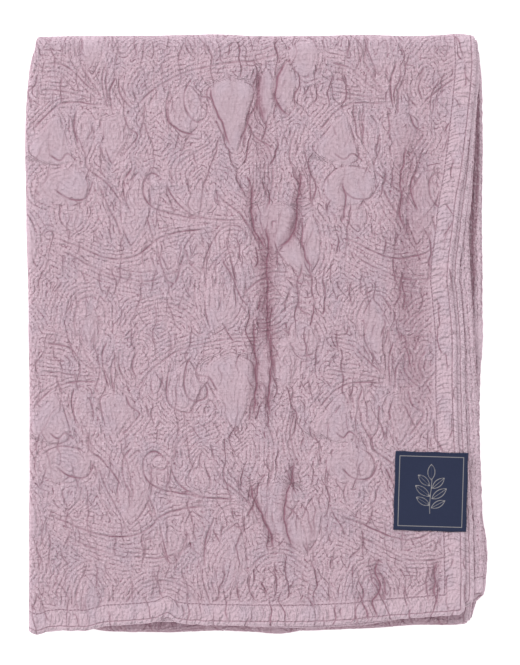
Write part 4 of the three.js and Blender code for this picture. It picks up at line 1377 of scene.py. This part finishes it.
def woven_label(colours):
    """A satin label with a paler woven border and sprig."""
    material, nodes, shader = new_material("woven_label")
    place = nodes.field("label_place")
    parts = nodes.split(place)
    weave_tree = bpy.data.node_groups["Woven threads"]
    weave = nodes.group(weave_tree, Place=place, Threads_across=9.0, Threads_along=14.0)
    figure = nodes.fade(parts["Z"], -0.12, 0.16)
    twill = nodes.math("SINE", nodes.product(nodes.total(parts["X"], parts["Y"]), 7.0))
    shown = nodes.product(figure, nodes.math("MULTIPLY_ADD", twill, 0.16, 0.80))
    ground = nodes.blend(nodes.product(weave["Wear"], 0.16), colours.label, colours.label_sheen)
    nodes.put(shader["Base Color"], nodes.blend(shown, ground, colours.ornament))
    height = nodes.math("MULTIPLY_ADD", weave["Height"], 0.12, nodes.product(figure, 0.25))
    nodes.put(shader["Normal"], nodes.bump(height, 0.7))
    nodes.put(shader["Roughness"], 0.6)
    nodes.put(shader["Specular IOR Level"], 0.25)
    nodes.put(shader["Sheen Weight"], 0.12)
    return material


def sewing_thread(name, colour):
    """Twisted thread."""
    material, nodes, shader = new_material(name)
    place = nodes.add("TexCoord", {})["Object"]
    twist = nodes.add("TexNoise", {"Vector": place, "Scale": 1800.0})["Fac"]
    darker = tuple(0.6 * channel for channel in colour)
    nodes.put(shader["Base Color"], nodes.blend(twist, darker, colour))
    nodes.put(shader["Roughness"], 0.8)
    nodes.put(shader["Specular IOR Level"], 0.2)
    return material


def pile_shift():
    """From the tables' place to the frame's, in millimetres: the solids' middle is over the origin."""
    low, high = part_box("label")
    return np.array([(low.x + high.x) / 2 / MM - LABEL["x"], (low.y + high.y) / 2 / MM - LABEL["y"], 0])


def stitch_mesh(starts, ends, radius):
    """Short rounded stitches from their starts to their ends, as points and faces."""
    axis = ends - starts
    side = np.cross(axis, (0, 0, 1))
    side = side / np.linalg.norm(side, axis=1, keepdims=True)
    top = np.cross(side, axis)
    top = top / np.linalg.norm(top, axis=1, keepdims=True)
    turns = np.arange(STITCH_SIDES) * 2 * math.pi / STITCH_SIDES
    points = []
    for ring in STITCH_RINGS:
        middle = starts + axis * ring["share"] + top * ring["rise"] * radius
        for turn in turns:
            outward = math.cos(turn) * side + math.sin(turn) * top
            points.append(middle + ring["size"] * radius * outward)
    points = np.stack(points, 1).reshape(-1, 3)
    last = STITCH_SIDES * (len(STITCH_RINGS) - 1)
    stitch = []
    for base in range(0, last, STITCH_SIDES):
        for step in range(STITCH_SIDES):
            here, following = base + step, base + (step + 1) % STITCH_SIDES
            stitch.append((here, following, following + STITCH_SIDES, here + STITCH_SIDES))
    stitch += [tuple(reversed(range(STITCH_SIDES))), tuple(range(last, last + STITCH_SIDES))]
    faces = []
    for base in range(0, len(points), last + STITCH_SIDES):
        faces += [tuple(base + corner for corner in face) for face in stitch]
    return points, faces


def add_stitches(name, starts, ends, radius, material):
    points, faces = stitch_mesh(starts, ends, radius)
    made = new_object(name, (points + pile_shift()) * MM, faces, material)
    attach(made, "root")
    return made


def hem_stitches(inset, sizes, along_side):
    """Starts and ends of the stitches of a line at a distance inside the hem, along one side."""
    cells = ALONG_CELLS["top_length"] if along_side else ACROSS_CELLS["top_run"]
    length = FAR_TURN - NEAR_EDGE if along_side else TOP_WIDTH
    runs = np.arange(inset, length - HEM_STITCHES_STOP, sizes.stitch_pitch / MM)
    wander = 0.12 * np.sin(runs * 1.7) + 0.1 * np.sin(runs * 0.61)
    ends = []
    for run in (runs, runs + sizes.stitch_length / MM):
        past_hem = 1 + (run - HEM_WIDTH) / (length - HEM_WIDTH) * (cells - 1)
        measure = np.where(run < HEM_WIDTH, run / HEM_WIDTH, past_hem)
        from_edge = (inset + wander) / HEM_WIDTH
        names = ("top_run", "top_length")
        counts = (ACROSS_CELLS["top_run"], ALONG_CELLS["top_length"])
        measures = (from_edge, measure) if along_side else (measure, from_edge)
        across, along = (
            (np.full(len(run), part), values / count, values)
            for part, count, values in zip(names, counts, measures)
        )
        ends.append(cloth_points(across, along, np.full(len(run), OUTER), sizes.relief)[0])
    return ends


class QUILT_OT_add_sheet(bpy.types.Operator):
    """Makes the folded, quilted sheet with its hems"""
    bl_idname = "quilt.add_sheet"
    bl_label = "Folded sheet"

    def execute(self, context):
        scene = context.scene
        points, cloth_x, cloth_y, fields, faces = FoldedSheet(scene.quilt_sizes.relief).build()
        material = quilted_cotton(scene.quilt_colours)
        sheet = new_object("quilt_sheet", (points + pile_shift()) * MM, faces, material)
        for name, parts in CLOTH_FIELDS.items():
            store_vectors(sheet.data, name, *(fields[part] for part in parts))
        store_vectors(sheet.data, "cloth_place", cloth_x, cloth_y, fields["run"])
        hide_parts("quilt")
        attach(sheet, "root")
        return {"FINISHED"}


class QUILT_OT_add_hem_stitches(bpy.types.Operator):
    """Sews the hem's seam and its corded edge"""
    bl_idname = "quilt.add_hem_stitches"
    bl_label = "Hem stitches"

    def execute(self, context):
        scene = context.scene
        material = sewing_thread("hem_thread", scene.quilt_colours.thread)
        for name, inset in (("hem_seam_stitches", HEM_WIDTH), ("hem_edge_stitches", CORD_WIDTH + 0.3)):
            sides = [hem_stitches(inset, scene.quilt_sizes, along_side) for along_side in (False, True)]
            starts, ends = (np.concatenate([side[end] for side in sides]) for end in (0, 1))
            add_stitches(name, starts, ends, scene.quilt_sizes.thread_radius / MM, material)
        return {"FINISHED"}


# The label's own finish: a thin border and a small sprig of paired leaves on a stem, by place
# from its middle, with each leaf's half sizes and its turn in degrees
BORDER = {"inset": 4.6, "half_width": 0.42}
SPRIG_STEM = {"from_y": -22, "to_y": 12, "half_width": 0.42}
LEAVES = table(
    "name at half turn",
    ("tip leaf", (0, 19.5), (3.6, 8), 0),
    ("upper left leaf", (-7.2, 11), (3.3, 8), 48),
    ("upper right leaf", (7.2, 8.5), (3.3, 8), -48),
    ("middle left leaf", (-8.4, 0.5), (3.5, 9), 54),
    ("middle right leaf", (8.4, -2), (3.5, 9), -54),
    ("lower left leaf", (-7.6, -10), (3.1, 8), 60),
    ("lower right leaf", (7.6, -12.5), (3.1, 8), -60),
)


def label_figure(x, y):
    """Distance inside the label's woven border and sprig, negative outside them."""
    outer = np.maximum(np.abs(x) - LABEL["across"] / 2, np.abs(y) - LABEL["along"] / 2) + BORDER["inset"]
    inside = BORDER["half_width"] - np.abs(outer)
    past_stem = np.maximum(np.maximum(SPRIG_STEM["from_y"] - y, y - SPRIG_STEM["to_y"]), 0)
    bend = 0.8 * np.sin(y / 9)
    inside = np.maximum(inside, SPRIG_STEM["half_width"] - np.hypot(x - bend, past_stem))
    for leaf in LEAVES:
        shape = inside_puff({**leaf, "form": "leaf"}, x - leaf["at"][0], leaf["at"][1] - y)
        turn = math.radians(leaf["turn"])
        vein = (x - leaf["at"][0]) * math.cos(turn) + (y - leaf["at"][1]) * math.sin(turn)
        midrib = np.where(shape > 0, 0.3 - np.abs(vein), -1)
        inside = np.maximum(inside, np.maximum(0.36 - np.abs(shape), midrib))
    return np.clip(inside, -2, 2)


def label_rise(x, y):
    """Height of the label's underside over the quilt's smooth face, as the label lies in small waves."""
    wave = 0.22 * np.sin(x / 7.5 + 1) * np.sin(y / 9.3) + 0.16 * np.sin(x / 19 - y / 13)
    return LABEL["lift"] + LABEL_GAP + wave


class QUILT_OT_add_label(bpy.types.Operator):
    """Makes the small woven label, with its turned edges, and sews it down"""
    bl_idname = "quilt.add_label"
    bl_label = "Label"

    def execute(self, context):
        scene = context.scene
        count_x, count_y = round(LABEL["across"] / LABEL_STEP), round(LABEL["along"] / LABEL_STEP)
        u, v = np.meshgrid(np.linspace(-1, 1, count_x + 1), np.linspace(-1, 1, count_y + 1), indexing="ij")
        points, places = [], []
        for is_top in (True, False):
            x, y = u * LABEL["across"] / 2, v * LABEL["along"] / 2
            to_edge = np.minimum(LABEL["across"] / 2 - np.abs(x), LABEL["along"] / 2 - np.abs(y))
            rise = label_rise(x, y)
            if is_top:
                turned = LABEL_TURNING["rise"] * smooth((LABEL_TURNING["width"] - to_edge) / 0.8)
                rounding = 0.34 * (1 - np.sqrt(np.clip(to_edge / 0.7, 0, 1)))
                rise = rise + LABEL["thickness"] - LABEL_TURNING["inset"] + turned - rounding
            x = x + 0.25 * np.sin(y / 6.1) * (np.abs(u) > 0.99)
            y = y + 0.25 * np.sin(x / 5.3 + 1) * (np.abs(v) > 0.99)
            points.append(on_top_of_pile(x, y, rise))
            places.append(np.stack([x, y, label_figure(x, y) if is_top else np.full(x.shape, -1.0)], -1))
        stride = count_y + 1
        index = np.arange((count_x + 1) * stride).reshape(count_x + 1, stride)
        top = np.stack([index[:-1, :-1], index[1:, :-1], index[1:, 1:], index[:-1, 1:]], -1).reshape(-1, 4)
        rim = np.concatenate([index[:, 0], index[-1, 1:], index[-2::-1, -1], index[0, -2:0:-1]])
        following = np.roll(rim, -1)
        sides = np.stack([rim, rim + index.size, following + index.size, following], -1)
        faces = np.concatenate([top, (top + index.size)[:, ::-1], sides]).tolist()
        points = np.concatenate([part.reshape(-1, 3) for part in points])
        places = np.concatenate([part.reshape(-1, 3) for part in places])
        material = woven_label(scene.quilt_colours)
        label = new_object("label_cloth", (points + pile_shift()) * MM, faces, material)
        store_vectors(label.data, "label_place", *places.T)
        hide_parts("label")
        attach(label, "root")

        sewn = LABEL_STITCHES
        half_x, half_y = LABEL["across"] / 2 - sewn["inset"], LABEL["along"] / 2 - sewn["inset"]
        corners = [(-half_x, -half_y), (half_x, -half_y), (half_x, half_y), (-half_x, half_y)]
        starts, ends = [], []
        for begin, finish in zip(corners, corners[1:] + corners[:1]):
            run = np.subtract(finish, begin)
            steps = np.arange(sewn["first"], np.hypot(*run) - sewn["last"], sewn["pitch"])
            for places, ahead in ((starts, 0), (ends, sewn["length"])):
                x, y = (begin + np.outer((steps + ahead) / np.hypot(*run), run)).T
                rise = label_rise(x, y) + LABEL["thickness"] - LABEL_TURNING["inset"] + LABEL_TURNING["rise"]
                places.append(on_top_of_pile(x, y, rise))
        material = sewing_thread("label_thread", scene.quilt_colours.label_sheen)
        stitches = add_stitches(
            "label_stitches", np.concatenate(starts), np.concatenate(ends),
            0.8 * scene.quilt_sizes.thread_radius / MM, material,
        )
        return {"FINISHED"}


def on_top_of_pile(x, y, rise):
    """Turns places on the label into places in the pile, a height over the cloth's smooth face."""
    turn = math.radians(LABEL["turn"])
    pile_x = LABEL["x"] + x * math.cos(turn) - y * math.sin(turn)
    pile_y = LABEL["y"] + x * math.sin(turn) + y * math.cos(turn)
    face = settled(pile_x, pile_y, 4 * QUARTER_HEIGHT - 2 * LOWEST_LAYER)
    return np.stack([pile_x, pile_y, face + rise], -1)


class QUILT_OT_add_stage(bpy.types.Operator):
    """Makes the plain floor, the soft studio light and the camera straight above the quilt"""
    bl_idname = "quilt.add_stage"
    bl_label = "Stage"

    def execute(self, context):
        scene = context.scene
        material, nodes, shader = new_material("pale_floor")
        nodes.put(shader["Base Color"], (0.85, 0.85, 0.85, 1))
        nodes.put(shader["Roughness"], 0.9)
        nodes.put(shader["Emission Color"], (1, 1, 1, 1))
        nodes.put(shader["Emission Strength"], 0.55)
        half = 4.0
        floor = new_object(
            "floor", [(-half, -half, 0), (half, -half, 0), (half, half, 0), (-half, half, 0)],
            [(0, 1, 2, 3)], material,
        )

        world = bpy.data.worlds.new("soft_room")
        world.use_nodes = True
        world.node_tree.nodes["Background"].inputs["Color"].default_value = (1, 1, 1, 1)
        world.node_tree.nodes["Background"].inputs["Strength"].default_value = 0.83
        scene.world = world

        key = bpy.data.lights.new("key_light", "AREA")
        key.shape = "RECTANGLE"
        key.size, key.size_y = 2.6, 2.2
        key.energy = 138
        key_object = bpy.data.objects.new("key_light", key)
        key_object.location = (-3.2, 2.8, 3.2)
        key_object.rotation_euler = (-Vector(key_object.location)).to_track_quat("-Z", "Y").to_euler()
        scene.collection.objects.link(key_object)

        camera = bpy.data.cameras.new("camera")
        camera.sensor_width = 36
        camera.lens = camera.sensor_width * scene.quilt_sizes.camera_height / (PHOTO_LENGTH * MM)
        camera.clip_end = 50
        camera_object = bpy.data.objects.new("camera", camera)
        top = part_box("quilt")[1][2]
        over_x, over_y = CAMERA_OVER
        camera_object.location = (over_x * MM, over_y * MM, top + scene.quilt_sizes.camera_height)
        scene.collection.objects.link(camera_object)
        scene.camera = camera_object
        scene.view_settings.view_transform = "Standard"
        return {"FINISHED"}


class QUILT_PT_panel(bpy.types.Panel):
    """Sizes and colours of the quilt, and the steps that make it"""
    bl_idname = "QUILT_PT_panel"
    bl_label = "Folded quilt"
    bl_space_type = "VIEW_3D"
    bl_region_type = "UI"
    bl_category = "Quilt"

    def draw(self, context):
        for group in (context.scene.quilt_sizes, context.scene.quilt_colours):
            for name in group.__annotations__:
                self.layout.prop(group, name)
        for operator in OPERATORS:
            self.layout.operator(operator.bl_idname)


OPERATORS = (QUILT_OT_add_stage, QUILT_OT_add_sheet, QUILT_OT_add_hem_stitches, QUILT_OT_add_label)
CLASSES = (QuiltSizes, QuiltColours, *OPERATORS, QUILT_PT_panel)


def register():
    for item in CLASSES:
        bpy.utils.register_class(item)
    bpy.types.Scene.quilt_sizes = bpy.props.PointerProperty(type=QuiltSizes)
    bpy.types.Scene.quilt_colours = bpy.props.PointerProperty(type=QuiltColours)


def unregister():
    del bpy.types.Scene.quilt_colours
    del bpy.types.Scene.quilt_sizes
    for item in reversed(CLASSES):
        bpy.utils.unregister_class(item)


def main():
    register()
    bpy.ops.quilt.add_stage()
    bpy.ops.quilt.add_sheet()
    bpy.ops.quilt.add_hem_stitches()
    bpy.ops.quilt.add_label()


if __name__ == "__main__":
    main()
